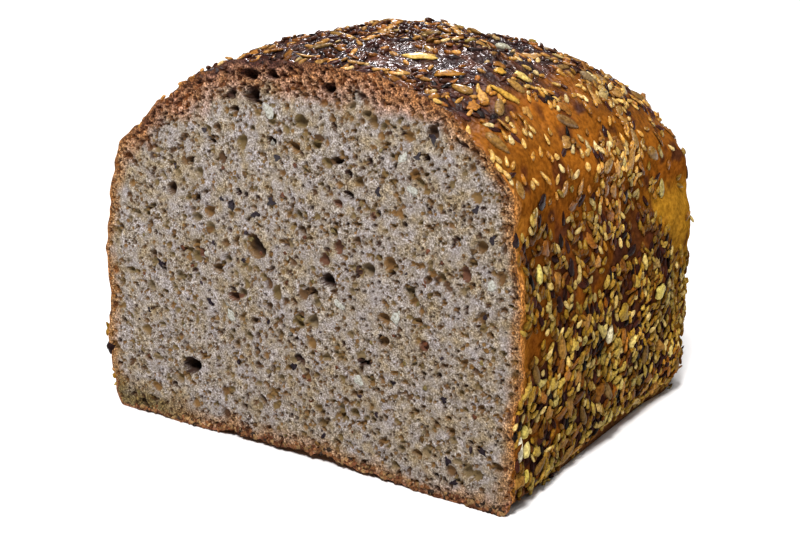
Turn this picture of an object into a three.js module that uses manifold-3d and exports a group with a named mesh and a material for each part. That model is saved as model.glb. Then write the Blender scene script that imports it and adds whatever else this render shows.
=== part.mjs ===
// Cut half of a seeded spelt tin loaf, in millimetres, +Z up, standing on its flat base.
// The cut face looks along -Y, the width runs along X and the crusted end closes the loaf at +Y.
import * as THREE from 'three';
import { mergeVertices } from 'three/addons/utils/BufferGeometryUtils.js';
import Module from 'manifold-3d';

const wasm = await Module();
wasm.setup();

// Driving dimensions of the loaf
const LENGTH = 148; // from the cut face to the crusted end
const WIDEST = 45; // level where the side walls end and the dome begins
const CROWN_RISE = 6.8; // how far the crown climbs behind the cut
const CROWN_AT = 57; // distance of the crown behind the cut
const CROWN_FALL = 2.05; // roundness of the fall from the crown to the crusted end
const END_ROUND = 39; // depth of the rounding towards the crusted end
const END_FULLNESS = 1.8; // roundness of that end seen from above
const END_SPREAD = 2.6; // how much each side wall spreads towards the crusted end
const FOOT_ROUND = 7; // rounding of the foot at the crusted end
const FOOT_TUCK = 6; // how far each side wall draws in at its foot by the crusted end
const TUCK_HEIGHT = 18; // the walls draw in below this level
const TUCK_EASE = 0.6; // below 1 the drawing in starts fast behind the cut
const ARCH_LENGTH = 40; // how far the lifted middle of the base reaches behind the cut
const ARCH_HEIGHT = 2; // outline points lower than this belong to the base
const LUMP_HEIGHT = 0.9; // unevenness of the crust
const LUMP_LONG = 16;
const LUMP_SHORT = 8;
const LUMP_START = 3; // the foot stays even up to this level
const LUMP_FULL = 14;

// Outline of the cut face as [x, z], clockwise from the crown
const SECTION = [
  [-2, 119.7], [45, 114], [60, 105], [72.6, 89], [73.7, 75], [77.1, 50], [75.8, 20],
  [75.4, 4.5], [71.5, 0], [30, 1.2], [0, 1.6], [-35, 0.3], [-67, 0], [-74.5, 2.5],
  [-77.4, 14], [-76.8, 40], [-74.6, 68], [-67, 92], [-51, 103.8], [-32, 114.8],
];

// The largest pores of the cut face as [x, z, width, height]
const LARGE_PORES = [
  [-14.1, 64.5, 9, 6.5], [-40.9, 21.3, 8.5, 6], [5.3, 45, 9.5, 4.3], [13.6, 58.9, 5, 4.8],
  [28, 64.2, 5.5, 4.1], [14, 76.6, 5, 3.5], [16.7, 92.7, 6.9, 3.7], [-12.6, 109.5, 6.4, 3.4],
  [-21, 109, 3.5, 2.8],
];
const PORE_DEPTH = 0.45; // depth of a pore as a share of its width
const PORE_FLATTEST = 0.6; // least height of a small pore as a share of its width
const PORE_TILT = 0.6; // pores lean up to this angle either way, in radians
const SMALL_PORE_COUNT = 46;
const SMALL_PORE_SMALLEST = 1.6;
const SMALL_PORE_LARGEST = 3.4;
const CRUST_BAND = 8; // the small pores keep this far inside the outline
const PORE_GAP = 6; // least distance between pore centres

// Seeds on the crust, the largest kind first
const SEED_KINDS = [
  { count: 32, long: 8.6, wide: 4.3, thick: 2.6, sides: 6, bands: 4 }, // sunflower kernels
  { count: 38, long: 6.4, wide: 4.2, thick: 1.8, sides: 6, bands: 3 }, // oat flakes
  { count: 64, long: 3.4, wide: 2.2, thick: 1.5, sides: 6, bands: 3 }, // sesame
];
const SEED_SUNK = 0.18; // share of its thickness that a seed's centre lies under the crust
const SEED_TAPER = 0.3; // a seed narrows towards one tip
const SEED_SIZE_SPREAD = 0.12;
const SEED_LOWEST = 8; // no seed centre is lower than this
const SEED_FROM_CUT = 6; // no seed centre is nearer to the cut face
const SEED_FROM_END = 2; // nor nearer to the tip of the crusted end
const SEED_TRIES = 14; // places compared for each seed, of which the most open one is taken

// Fineness of the solid
const AROUND = 76;
const STATIONS = 20;
const STATION_CROWDING = 1.8; // stations crowd towards the rounded end
const BASIS_STEP = 0.004; // share of the loaf between the points that give a direction
const DRAW_SEED = 2406;

const FRONT = -LENGTH / 2;
const CROWN_HEIGHT = Math.max(...SECTION.map(([, z]) => z));
const HALF_WIDTH = Math.max(...SECTION.map(([x]) => Math.abs(x)));

const outline = new THREE.CatmullRomCurve3(SECTION.map(([x, z]) => new THREE.Vector3(x, 0, z)), true);
outline.arcLengthDivisions = 1200;

// Repeatable draws between 0 and 1
function drawsFrom(seed) {
  let state = seed;
  return () => {
    state = (state + 0x6d2b79f5) | 0;
    let mixed = Math.imul(state ^ (state >>> 15), 1 | state);
    mixed = (mixed + Math.imul(mixed ^ (mixed >>> 7), 61 | mixed)) ^ mixed;
    return ((mixed ^ (mixed >>> 14)) >>> 0) / 4294967296;
  };
}

const draw = drawsFrom(DRAW_SEED);

function drawBetween(low, high) {
  return low + (high - low) * draw();
}

// Quarter of a rounded curve: 1 at the start of the run, 0 at its end
function roundFall(share, power) {
  return Math.max(1 - share ** power, 0) ** (1 / power);
}

// Height of the dome at a distance behind the cut, as a share of its height at the cut
function domeShare(behind) {
  const crown = 1 + CROWN_RISE / (CROWN_HEIGHT - WIDEST);
  if (behind < CROWN_AT) {
    return crown - (crown - 1) * (1 - behind / CROWN_AT) ** 2;
  }
  return crown * roundFall((behind - CROWN_AT) / (LENGTH - CROWN_AT), CROWN_FALL);
}

// Width of the loaf at a distance behind the cut, as a share of its width at the cut
function widthShare(behind) {
  const spread = 1 + (END_SPREAD / HALF_WIDTH) * (behind / LENGTH);
  const intoEnd = Math.max(0, (behind - (LENGTH - END_ROUND)) / END_ROUND);
  const narrowing = (1 - roundFall(intoEnd, END_FULLNESS)) * (END_ROUND / HALF_WIDTH);
  return spread * (1 - narrowing);
}

// Slow unevenness of the crust, none at the foot
function lumpAt(x, y, z) {
  const long = Math.sin((x + y) / LUMP_LONG) * Math.sin((z - y) / LUMP_LONG);
  const short = Math.sin((x - z) / LUMP_SHORT) * Math.sin((y + z) / LUMP_SHORT);
  return LUMP_HEIGHT * THREE.MathUtils.smoothstep(z, LUMP_START, LUMP_FULL) * (long + short / 2);
}

// Point of the crust: around runs clockwise over the outline, along runs from the cut to the end, both 0 to 1
function crustPoint(around, along) {
  const behind = LENGTH * along;
  const start = outline.getPointAt(THREE.MathUtils.euclideanModulo(around, 1));
  let x = start.x * widthShare(behind);
  let z = Math.max(0, start.z);
  if (z > WIDEST) {
    z = WIDEST + (z - WIDEST) * domeShare(behind);
  } else {
    const arch = z < ARCH_HEIGHT ? Math.max(0, 1 - behind / ARCH_LENGTH) : 1;
    const intoFoot = Math.max(0, (behind - (LENGTH - FOOT_ROUND)) / FOOT_ROUND);
    const lift = FOOT_ROUND * (1 - roundFall(intoFoot, 2));
    z = lift + z * arch * (1 - lift / WIDEST);
  }
  const tuck = FOOT_TUCK * along ** TUCK_EASE * (1 - THREE.MathUtils.smoothstep(z, 0, TUCK_HEIGHT));
  x *= 1 - tuck / HALF_WIDTH;
  const lump = lumpAt(x, behind, z);
  const reach = Math.hypot(x, z - WIDEST);
  const push = 1 + lump / Math.max(reach, WIDEST / 2);
  return new THREE.Vector3(x * push, FRONT + behind, WIDEST + (z - WIDEST) * push);
}

// Outward direction and the two surface directions at a place on the crust
function crustBasis(around, along) {
  const here = crustPoint(around, along);
  const across = crustPoint(around + BASIS_STEP, along).sub(here).normalize();
  const lengthwise = here.clone().sub(crustPoint(around, along - BASIS_STEP)).normalize();
  const outward = new THREE.Vector3().crossVectors(across, lengthwise).normalize();
  const side = new THREE.Vector3().crossVectors(outward, across).normalize();
  return { here, across, side, outward };
}

// Closed solid of a geometry whose shared vertices are merged
function solidOf(geometry) {
  geometry.deleteAttribute('normal');
  geometry.deleteAttribute('uv');
  const merged = mergeVertices(geometry);
  return new wasm.Manifold(new wasm.Mesh({
    numProp: 3,
    vertProperties: merged.attributes.position.array,
    triVerts: Uint32Array.from(merged.index.array),
  }));
}

// Bare loaf: a cylinder lying along Y whose rings take the loaf's outline at their station
function loafSolid() {
  const rings = new THREE.CylinderGeometry(1, 1, 1, AROUND, STATIONS);
  rings.deleteAttribute('normal');
  rings.deleteAttribute('uv');
  const geometry = mergeVertices(rings);
  const position = geometry.attributes.position;
  for (let i = 0; i < position.count; i += 1) {
    const x = position.getX(i);
    const z = position.getZ(i);
    const along = 1 - (0.5 - position.getY(i)) ** STATION_CROWDING;
    const isCapCentre = x === 0 && z === 0;
    const onCrust = crustPoint(Math.atan2(x, z) / (2 * Math.PI), along);
    const onAxis = new THREE.Vector3(0, FRONT + LENGTH * along, WIDEST / 2);
    const target = isCapCentre ? onAxis : onCrust;
    position.setXYZ(i, target.x, target.y, target.z);
  }
  return solidOf(geometry);
}

// Whether a place on the cut face lies at least a given distance inside its outline
function insideOutline(x, z, margin) {
  const inset = 1 - margin / WIDEST;
  const points = outline.getSpacedPoints(AROUND);
  const shrunk = points.map((p) => [p.x * inset, WIDEST + (p.z - WIDEST) * inset]);
  let inside = false;
  shrunk.forEach(([x1, z1], i) => {
    const [x2, z2] = shrunk[(i + 1) % shrunk.length];
    const crosses = (z1 > z) !== (z2 > z) && x < ((x2 - x1) * (z - z1)) / (z2 - z1) + x1;
    inside = crosses ? !inside : inside;
  });
  return inside;
}

// Small pores strewn over the crumb, clear of each other and of the large ones
function smallPores() {
  const pores = [];
  while (pores.length < SMALL_PORE_COUNT) {
    const x = drawBetween(-HALF_WIDTH, HALF_WIDTH);
    const z = drawBetween(0, CROWN_HEIGHT);
    const width = drawBetween(SMALL_PORE_SMALLEST, SMALL_PORE_LARGEST);
    const height = width * drawBetween(PORE_FLATTEST, 1);
    const isClear = [...LARGE_PORES, ...pores].every(([px, pz]) => Math.hypot(px - x, pz - z) > PORE_GAP);
    if (isClear && insideOutline(x, z, CRUST_BAND)) {
      pores.push([x, z, width, height]);
    }
  }
  return pores;
}

// Hollow of one pore: an ellipsoid centred on the cut face
function poreSolid([x, z, width, height], fineness) {
  const geometry = new THREE.IcosahedronGeometry(1, fineness);
  geometry.rotateY(drawBetween(0, Math.PI));
  geometry.scale(width / 2, width * PORE_DEPTH, height / 2);
  geometry.rotateY(drawBetween(-PORE_TILT, PORE_TILT));
  geometry.translate(x, FRONT, z);
  return solidOf(geometry);
}

// Places for the seeds: each new one takes the most open of a few drawn places
function seedPlaces(count) {
  const places = [];
  const openness = (place) => Math.min(...places.map((other) => other.here.distanceTo(place.here)));
  for (let i = 0; i < count; i += 1) {
    const tries = [];
    while (tries.length < SEED_TRIES) {
      const behind = drawBetween(SEED_FROM_CUT, LENGTH - SEED_FROM_END);
      const place = crustBasis(draw(), behind / LENGTH);
      if (place.here.z > SEED_LOWEST) {
        tries.push(place);
      }
    }
    places.push(i === 0 ? tries[0] : tries.reduce((a, b) => (openness(a) > openness(b) ? a : b)));
  }
  return places;
}

// One seed lying on the crust, turned at random, its long way along its own Y
function seedSolid(kind, place) {
  const geometry = new THREE.SphereGeometry(1, kind.sides, kind.bands);
  const position = geometry.attributes.position;
  for (let i = 0; i < position.count; i += 1) {
    const narrow = 1 - SEED_TAPER * position.getY(i);
    position.setX(i, position.getX(i) * narrow);
  }
  const size = 1 + drawBetween(-SEED_SIZE_SPREAD, SEED_SIZE_SPREAD);
  geometry.scale((size * kind.wide) / 2, (size * kind.long) / 2, kind.thick / 2);
  geometry.rotateZ(drawBetween(0, 2 * Math.PI));
  geometry.translate(0, 0, -SEED_SUNK * kind.thick);
  geometry.applyMatrix4(new THREE.Matrix4().makeBasis(place.across, place.side, place.outward));
  geometry.translate(place.here.x, place.here.y, place.here.z);
  return solidOf(geometry);
}

function seedSolids() {
  const total = SEED_KINDS.reduce((sum, kind) => sum + kind.count, 0);
  const places = seedPlaces(total);
  return SEED_KINDS.flatMap((kind) => places.splice(0, kind.count).map((place) => seedSolid(kind, place)));
}

function meshOf(solid, name, material) {
  const shape = solid.getMesh();
  const geometry = new THREE.BufferGeometry();
  geometry.setAttribute('position', new THREE.BufferAttribute(shape.vertProperties, 3));
  geometry.setIndex(new THREE.BufferAttribute(shape.triVerts, 1));
  geometry.computeVertexNormals();
  const mesh = new THREE.Mesh(geometry, material);
  mesh.name = name;
  return mesh;
}

const bareLoaf = loafSolid();
const largeHollows = LARGE_PORES.map((pore) => poreSolid(pore, 1));
const smallHollows = smallPores().map((pore) => poreSolid(pore, 0));
const porous = [...largeHollows, ...smallHollows].reduce((solid, pore) => solid.subtract(pore), bareLoaf);
const seeded = seedSolids().reduce((solid, seed) => solid.add(seed), porous);

const crust = new THREE.MeshStandardMaterial({ color: 0x8a5a2c, roughness: 0.6, metalness: 0 });

const loaf = new THREE.Group();
loaf.add(meshOf(seeded, 'loaf', crust));

export default loaf;
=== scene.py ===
import math
from types import SimpleNamespace
from typing import NamedTuple

import bpy
import numpy as np
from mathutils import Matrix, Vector


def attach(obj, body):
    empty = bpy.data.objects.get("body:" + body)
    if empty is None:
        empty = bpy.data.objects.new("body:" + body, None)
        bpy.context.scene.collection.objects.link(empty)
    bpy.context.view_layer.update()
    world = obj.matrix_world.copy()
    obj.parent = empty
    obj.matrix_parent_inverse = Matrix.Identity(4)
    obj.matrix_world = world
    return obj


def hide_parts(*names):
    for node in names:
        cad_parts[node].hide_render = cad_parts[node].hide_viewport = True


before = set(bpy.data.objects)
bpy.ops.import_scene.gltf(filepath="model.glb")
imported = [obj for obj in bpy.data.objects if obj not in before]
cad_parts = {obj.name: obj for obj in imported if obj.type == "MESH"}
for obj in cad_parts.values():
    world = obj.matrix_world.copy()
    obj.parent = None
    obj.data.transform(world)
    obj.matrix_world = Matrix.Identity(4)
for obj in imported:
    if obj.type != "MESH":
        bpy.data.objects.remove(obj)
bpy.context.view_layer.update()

# Looks of the cut half of a seeded spelt loaf. Shapes are worked out in millimetres and made in metres.
# A named pair of numbers is a range: that of a draw, or the two ends between which a share rises or falls.
# A named noise is a list of (lump size, height, draw).
MM = 0.001
NODE = "loaf"
BODY = "root"
TINY = 1e-9

# Sizes of the loaf, the same as in its solid
LENGTH = 148.0
WIDEST = 45.0
CROWN_RISE = 6.8
CROWN_AT = 57.0
CROWN_FALL = 2.05
END_ROUND = 39.0
END_FULLNESS = 1.8
END_SPREAD = 2.6
FOOT_ROUND = 7.0
FOOT_TUCK = 6.0
TUCK_HEIGHT = 18.0
TUCK_EASE = 0.6
ARCH_LENGTH = 40.0
ARCH_HEIGHT = 2.0
LUMP_HEIGHT = 0.9
LUMP_LONG = 16.0
LUMP_SHORT = 8.0
LUMP_RANGE = (3.0, 14.0)
SECTION = np.array([
    (-2, 119.7), (45, 114), (60, 105), (72.6, 89), (73.7, 75), (77.1, 50), (75.8, 20),
    (75.4, 4.5), (71.5, 0), (30, 1.2), (0, 1.6), (-35, 0.3), (-67, 0), (-74.5, 2.5),
    (-77.4, 14), (-76.8, 40), (-74.6, 68), (-67, 92), (-51, 103.8), (-32, 114.8),
])
FRONT = -LENGTH / 2
CROWN_HEIGHT = SECTION[:, 1].max()
HALF_WIDTH = np.abs(SECTION[:, 0]).max()

# Sizes of the crust that only the scene has
TUCK_LOSS = 0.68  # share of the foot's tuck that is lost towards the crusted end
TUCK_LOSS_RANGE = (96.0, 128.0)
END_FLAT = 36.0  # way from the rim of the crusted end's flat to its middle


# Smooth shapes and noise

def smoothstep(value, low, high):
    """Share that rises smoothly from 0 at low to 1 at high."""
    share = np.clip((value - low) / (high - low), 0, 1)
    return share * share * (3 - 2 * share)


def fall(value, low, high):
    """Share that falls smoothly from 1 at low to 0 at high."""
    return 1 - smoothstep(value, low, high)


def round_fall(share, power):
    """Quarter of a rounded curve: 1 at the start of the run, 0 at its end."""
    return np.maximum(1 - np.clip(share, 0, 1) ** power, 0) ** (1 / power)


def mixed(first, second, share):
    """Colours that go from first to second by the share at each place."""
    return first + (second - first) * share[..., None]


NOISE_SIDE = 48


def value_noise(places, size, draw):
    """Smooth noise between -1 and 1 with lumps about size across."""
    lattice = np.random.default_rng(draw).uniform(-1, 1, (NOISE_SIDE,) * 3)
    cells = places / size
    low = np.floor(cells).astype(int)
    part = smoothstep(cells - low, 0, 1)
    total = np.zeros(places.shape[:-1])
    for corner in np.ndindex(2, 2, 2):
        step = np.array(corner)
        weight = np.prod(np.where(step, part, 1 - part), axis=-1)
        at = (low + step) % NOISE_SIDE
        total += weight * lattice[at[..., 0], at[..., 1], at[..., 2]]
    return total


def noise_sum(places, noises):
    return sum(tall * value_noise(places, size, draw) for size, tall, draw in noises)


# Surface of the loaf

CURVE_STEPS = 60


def closed_curve(points):
    """Smooth closed curve through the points, as a dense run of places."""
    before, after, later = (np.roll(points, shift, axis=0) for shift in (1, -1, -2))
    gaps = [np.sqrt(np.linalg.norm(b - a, axis=1))[:, None] for a, b in
            ((before, points), (points, after), (after, later))]
    enter = (points - before) / gaps[0] - (after - before) / (gaps[0] + gaps[1]) + (after - points) / gaps[1]
    leave = (after - points) / gaps[1] - (later - points) / (gaps[1] + gaps[2]) + (later - after) / gaps[2]
    enter = (enter * gaps[1])[:, None]
    leave = (leave * gaps[1])[:, None]
    start = points[:, None]
    end = after[:, None]
    t = np.linspace(0, 1, CURVE_STEPS, endpoint=False)[None, :, None]
    square = -3 * start + 3 * end - 2 * enter - leave
    cube = 2 * start - 2 * end + enter + leave
    return (start + enter * t + square * t ** 2 + cube * t ** 3).reshape(-1, 2)


OUTLINE = closed_curve(SECTION)
OUTLINE_LOOP = np.vstack([OUTLINE, OUTLINE[:1]])
OUTLINE_RUN = np.concatenate([[0], np.cumsum(np.linalg.norm(np.diff(OUTLINE_LOOP, axis=0), axis=1))])


def outline_at(around):
    """Place (x, z) on the outline of the cut face, clockwise from the crown; around runs from 0 to 1."""
    run = np.mod(around, 1) * OUTLINE_RUN[-1]
    x = np.interp(run, OUTLINE_RUN, OUTLINE_LOOP[:, 0])
    z = np.interp(run, OUTLINE_RUN, OUTLINE_LOOP[:, 1])
    return x, np.maximum(z, 0)


def dome_share(behind):
    crown = 1 + CROWN_RISE / (CROWN_HEIGHT - WIDEST)
    climb = crown - (crown - 1) * (1 - behind / CROWN_AT) ** 2
    drop = crown * round_fall((behind - CROWN_AT) / (LENGTH - CROWN_AT), CROWN_FALL)
    return np.where(behind < CROWN_AT, climb, drop)


def width_share(behind):
    spread = 1 + END_SPREAD / HALF_WIDTH * behind / LENGTH
    into_end = (behind - (LENGTH - END_ROUND)) / END_ROUND
    return spread * (1 - (1 - round_fall(into_end, END_FULLNESS)) * END_ROUND / HALF_WIDTH)


def lump_at(x, y, z):
    long = np.sin((x + y) / LUMP_LONG) * np.sin((z - y) / LUMP_LONG)
    short = np.sin((x - z) / LUMP_SHORT) * np.sin((y + z) / LUMP_SHORT)
    return LUMP_HEIGHT * smoothstep(z, *LUMP_RANGE) * (long + short / 2)


def loaf_surface(around, behind):
    """Places on the loaf; past the loaf's length, behind goes on over the flat of the crusted end."""
    around, behind = np.broadcast_arrays(around, behind)
    over_end = 1 - np.clip((behind - LENGTH) / END_FLAT, 0, 1)
    behind = np.minimum(behind, LENGTH)
    x, z = outline_at(around)
    x = x * width_share(behind)
    arch = np.where(z < ARCH_HEIGHT, np.maximum(0, 1 - behind / ARCH_LENGTH), 1)
    lift = FOOT_ROUND * (1 - round_fall((behind - (LENGTH - FOOT_ROUND)) / FOOT_ROUND, 2))
    foot = lift + z * arch * (1 - lift / WIDEST)
    dome = WIDEST + (z - WIDEST) * dome_share(behind)
    z = np.where(z > WIDEST, dome, foot)
    tuck = FOOT_TUCK * (np.maximum(behind, 0) / LENGTH) ** TUCK_EASE * fall(z, 0, TUCK_HEIGHT)
    tuck = tuck * (1 - TUCK_LOSS * smoothstep(behind, *TUCK_LOSS_RANGE))
    x = x * (1 - tuck / HALF_WIDTH)
    push = 1 + lump_at(x, behind, z) / np.maximum(np.hypot(x, z - WIDEST), WIDEST / 2)
    x = x * push
    z = WIDEST + (z - WIDEST) * push
    middle = WIDEST / 2
    return np.stack([x * over_end, FRONT + behind, middle + (z - middle) * over_end], axis=-1)


# Relief of the crust

RELIEF = ((9.0, 0.45, 11), (4.4, 0.45, 12), (2.7, 0.34, 13))
CROWN_RELIEF = ((2.0, 0.5, 14),)
CROWN_RELIEF_RANGE = (0.6, 0.9)  # upward part of the outward direction
EDGE_RELIEF = ((6.0, 0.9, 15), (2.6, 0.8, 16))
EDGE_REACH = 6.0  # how far the torn edge reaches behind the cut
DENTS = (  # place, reach and depth of the broad dents; a bulge has a depth below zero
    ((45, -4, 120), 20.0, 3.6),
    ((78, 38, 41), 12.0, 2.4),
    ((78, 36, 64), 12.0, -2.3),
    ((-61, -74, 98), 8.0, 2.4),
    ((-76, -74, 52), 5.0, -1.2),
    ((-77, -74, 32), 7.0, 1.6),
    ((-73, -74, 1), 6.0, -1.8),
    ((-14, 2, 126), 15.0, -1.6),
    ((64, 24, 106), 9.0, -1.4),
)
FOOT_CHIPS = ((-23.0, 7.0, 1.5), (5.0, 8.0, 1.7))  # x, reach and height of chips at the foot of the cut
SMALL_CHIPS = ((3.0, 1.0, 17),)
SMALL_CHIP_HEIGHT = 0.9
SMALL_CHIP_RANGE = (0.0, 0.7)
CHIP_FADE = (1.0, 4.0)  # height over which the chips end
RELIEF_CLEAR = 2.0  # the relief fades out this near to the base
CRUST_SINK = 0.8  # the crust lies this far under the solid's surface, which the seeds reach
NEARBY = 1e-3  # step to a near place, as a share of the way around or along the loaf


def crust_surface(around, behind):
    """Places on the crust with its relief, and their outward directions."""
    place = loaf_surface(around, behind)
    ahead = LENGTH * NEARBY
    across = loaf_surface(around + NEARBY, behind) - loaf_surface(around - NEARBY, behind)
    lengthwise = loaf_surface(around, behind + ahead) - loaf_surface(around, behind - ahead)
    outward = np.cross(across, lengthwise)
    outward /= np.maximum(np.linalg.norm(outward, axis=-1, keepdims=True), TINY)
    at_cut = fall(place[..., 1] - FRONT, 0, EDGE_REACH)
    height = noise_sum(place, RELIEF) + at_cut * noise_sum(place, EDGE_RELIEF) - CRUST_SINK * (1 - at_cut)
    height += noise_sum(place, CROWN_RELIEF) * smoothstep(outward[..., 2], *CROWN_RELIEF_RANGE)
    height *= smoothstep(place[..., 2], 0, RELIEF_CLEAR)
    for middle, reach, deep in DENTS:
        gap = np.linalg.norm(place - np.array(middle), axis=-1)
        height = height - deep * np.exp(-(gap / reach) ** 2)
    chip = sum(tall * np.exp(-((place[..., 0] - x) / reach) ** 2) for x, reach, tall in FOOT_CHIPS)
    chip = chip + SMALL_CHIP_HEIGHT * smoothstep(noise_sum(place, SMALL_CHIPS), *SMALL_CHIP_RANGE)
    chip = chip * fall(place[..., 2], *CHIP_FADE)
    place = place + outward * height[..., None]
    place[..., 1] = np.maximum(place[..., 1], FRONT)
    place[..., 2] += chip * at_cut
    return place, outward


# Mesh making

def add_piece(name, verts, faces, material, values=None, colours=None):
    """Mesh object in metres that rides on the loaf's body and stands for its solid."""
    mesh = bpy.data.meshes.new(name)
    mesh.from_pydata((verts * MM).tolist(), [], faces)
    for key, data in (values or {}).items():
        attribute = mesh.attributes.new(key, "FLOAT", "POINT")
        attribute.data.foreach_set("value", np.asarray(data, np.float32).ravel())
    if colours is not None:
        attribute = mesh.attributes.new("tint", "FLOAT_COLOR", "POINT")
        rgba = np.column_stack([colours, np.ones(len(colours))])
        attribute.data.foreach_set("color", rgba.astype(np.float32).ravel())
    mesh.polygons.foreach_set("use_smooth", np.ones(len(mesh.polygons), bool))
    mesh.materials.append(material)
    mesh.update()
    piece = bpy.data.objects.new(name, mesh)
    bpy.context.scene.collection.objects.link(piece)
    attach(piece, BODY)
    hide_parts(NODE)


def grid_quads(rows, columns):
    """Faces of a grid of rows whose columns close into rings."""
    at = np.arange(rows * columns).reshape(rows, columns)
    right = np.roll(at, -1, axis=1)
    return np.stack([at[:-1], right[:-1], right[1:], at[1:]], axis=-1).reshape(-1, 4)


# Shader making

SMALLEST_SPOT = 0.02


class Shader:
    """A material whose nodes are added one call at a time; an input that is an output socket gets linked."""

    def __init__(self, name):
        self.material = bpy.data.materials.new(name)
        self.material.use_nodes = True
        self.tree = self.material.node_tree
        self.surface = self.tree.nodes["Principled BSDF"]
        self.place = self.node("ShaderNodeTexCoord").outputs["Object"]

    def set(self, node, inputs):
        for key, value in inputs.items():
            if isinstance(value, bpy.types.NodeSocket):
                self.tree.links.new(value, node.inputs[key])
            else:
                node.inputs[key].default_value = value

    def node(self, kind, inputs=None, **settings):
        node = self.tree.nodes.new(kind)
        for key, value in settings.items():
            setattr(node, key, value)
        self.set(node, inputs or {})
        return node

    def noise(self, size, detail=2.0, rough=0.55):
        """Noise between 0 and 1 with lumps about size millimetres across."""
        inputs = {"Vector": self.place, "Scale": 1 / (size * MM), "Detail": detail, "Roughness": rough}
        return self.node("ShaderNodeTexNoise", inputs).outputs["Fac"]

    def cells(self, size, inner, outer, share):
        """Round spots in a share of cells about size millimetres across: 1 in a spot, 0 between.

        The spots are of uneven size. The second value is a draw for each cell.
        """
        inputs = {"Vector": self.place, "Scale": 1 / (size * MM)}
        spots = self.node("ShaderNodeTexVoronoi", inputs)
        draws = self.node("ShaderNodeSeparateColor", {"Color": spots.outputs["Color"]}).outputs
        spot_size = self.fade(draws["Red"], 1 - share, 1.0, SMALLEST_SPOT, 1.0)
        start = self.math("MULTIPLY", spot_size, inner)
        reach = self.math("MULTIPLY", spot_size, outer)
        return self.fade(spots.outputs["Distance"], start, reach, 1.0, 0.0), draws["Green"]

    def lumps(self, size):
        """Smooth lumps about size millimetres apart: 1 on top of each, falling between them."""
        inputs = {"Vector": self.place, "Scale": 1 / (size * MM), "Smoothness": 0.6}
        lump = self.node("ShaderNodeTexVoronoi", inputs, feature="SMOOTH_F1")
        return self.math("SUBTRACT", 1.0, lump.outputs["Distance"])

    def attribute(self, name, output="Fac"):
        return self.node("ShaderNodeAttribute", attribute_name=name).outputs[output]

    def fade(self, value, low, high, to_low=0.0, to_high=1.0):
        inputs = {"Value": value, "From Min": low, "From Max": high, "To Min": to_low, "To Max": to_high}
        return self.node("ShaderNodeMapRange", inputs).outputs["Result"]

    def math(self, operation, first, second):
        return self.node("ShaderNodeMath", {0: first, 1: second}, operation=operation).outputs[0]

    def mix(self, share, first, second, blend="MIX"):
        node = self.node("ShaderNodeMix", data_type="RGBA", blend_type=blend)
        self.set(node, {0: share, 6: self.rgba(first), 7: self.rgba(second)})
        return node.outputs[2]

    def multiply(self, first, second, share=1.0):
        return self.mix(share, first, second, "MULTIPLY")

    def rgba(self, value):
        return (*value, 1.0) if isinstance(value, tuple) else value

    def ramp(self, value, stops):
        """Colour that runs through (place, colour) stops."""
        node = self.node("ShaderNodeValToRGB", {"Fac": value})
        elements = node.color_ramp.elements
        while len(elements) < len(stops):
            elements.new(0.5)
        for element, (at, colour) in zip(elements, stops):
            element.position = at
            element.color = self.rgba(colour)
        return node.outputs["Color"]

    def bump(self, height, depth, strength):
        inputs = {"Height": height, "Distance": depth * MM, "Strength": strength}
        return self.node("ShaderNodeBump", inputs).outputs["Normal"]

    def finish(self, **inputs):
        self.set(self.surface, {key.replace("_", " "): value for key, value in inputs.items()})
        return self.material


# Crumb of the cut face

CRUMB_DRAW = 5
CELL = 0.43  # spacing of the crumb's mesh
RIM = 0.1  # gap between the crumb's edge and the crust's edge
RIM_STEPS = 2400
RIM_SPAN = 3  # steps to either side over which the rim's direction is taken
SLAB = 10.0  # depth of the crumb piece behind the cut
SLAB_TAPER = 0.12  # share by which the crumb piece narrows over its depth, so that the crust covers it
SLAB_SLOPE = 0.9  # pores near the rim are at most this deep for each millimetre from it
EDGE_CLEAR = (0.2, 1.2)  # distance from the rim over which pores and relief set in
CRUMB_RELIEF = ((24.0, 0.35, 30), (2.6, 0.2, 31), (1.2, 0.22, 32))
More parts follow.
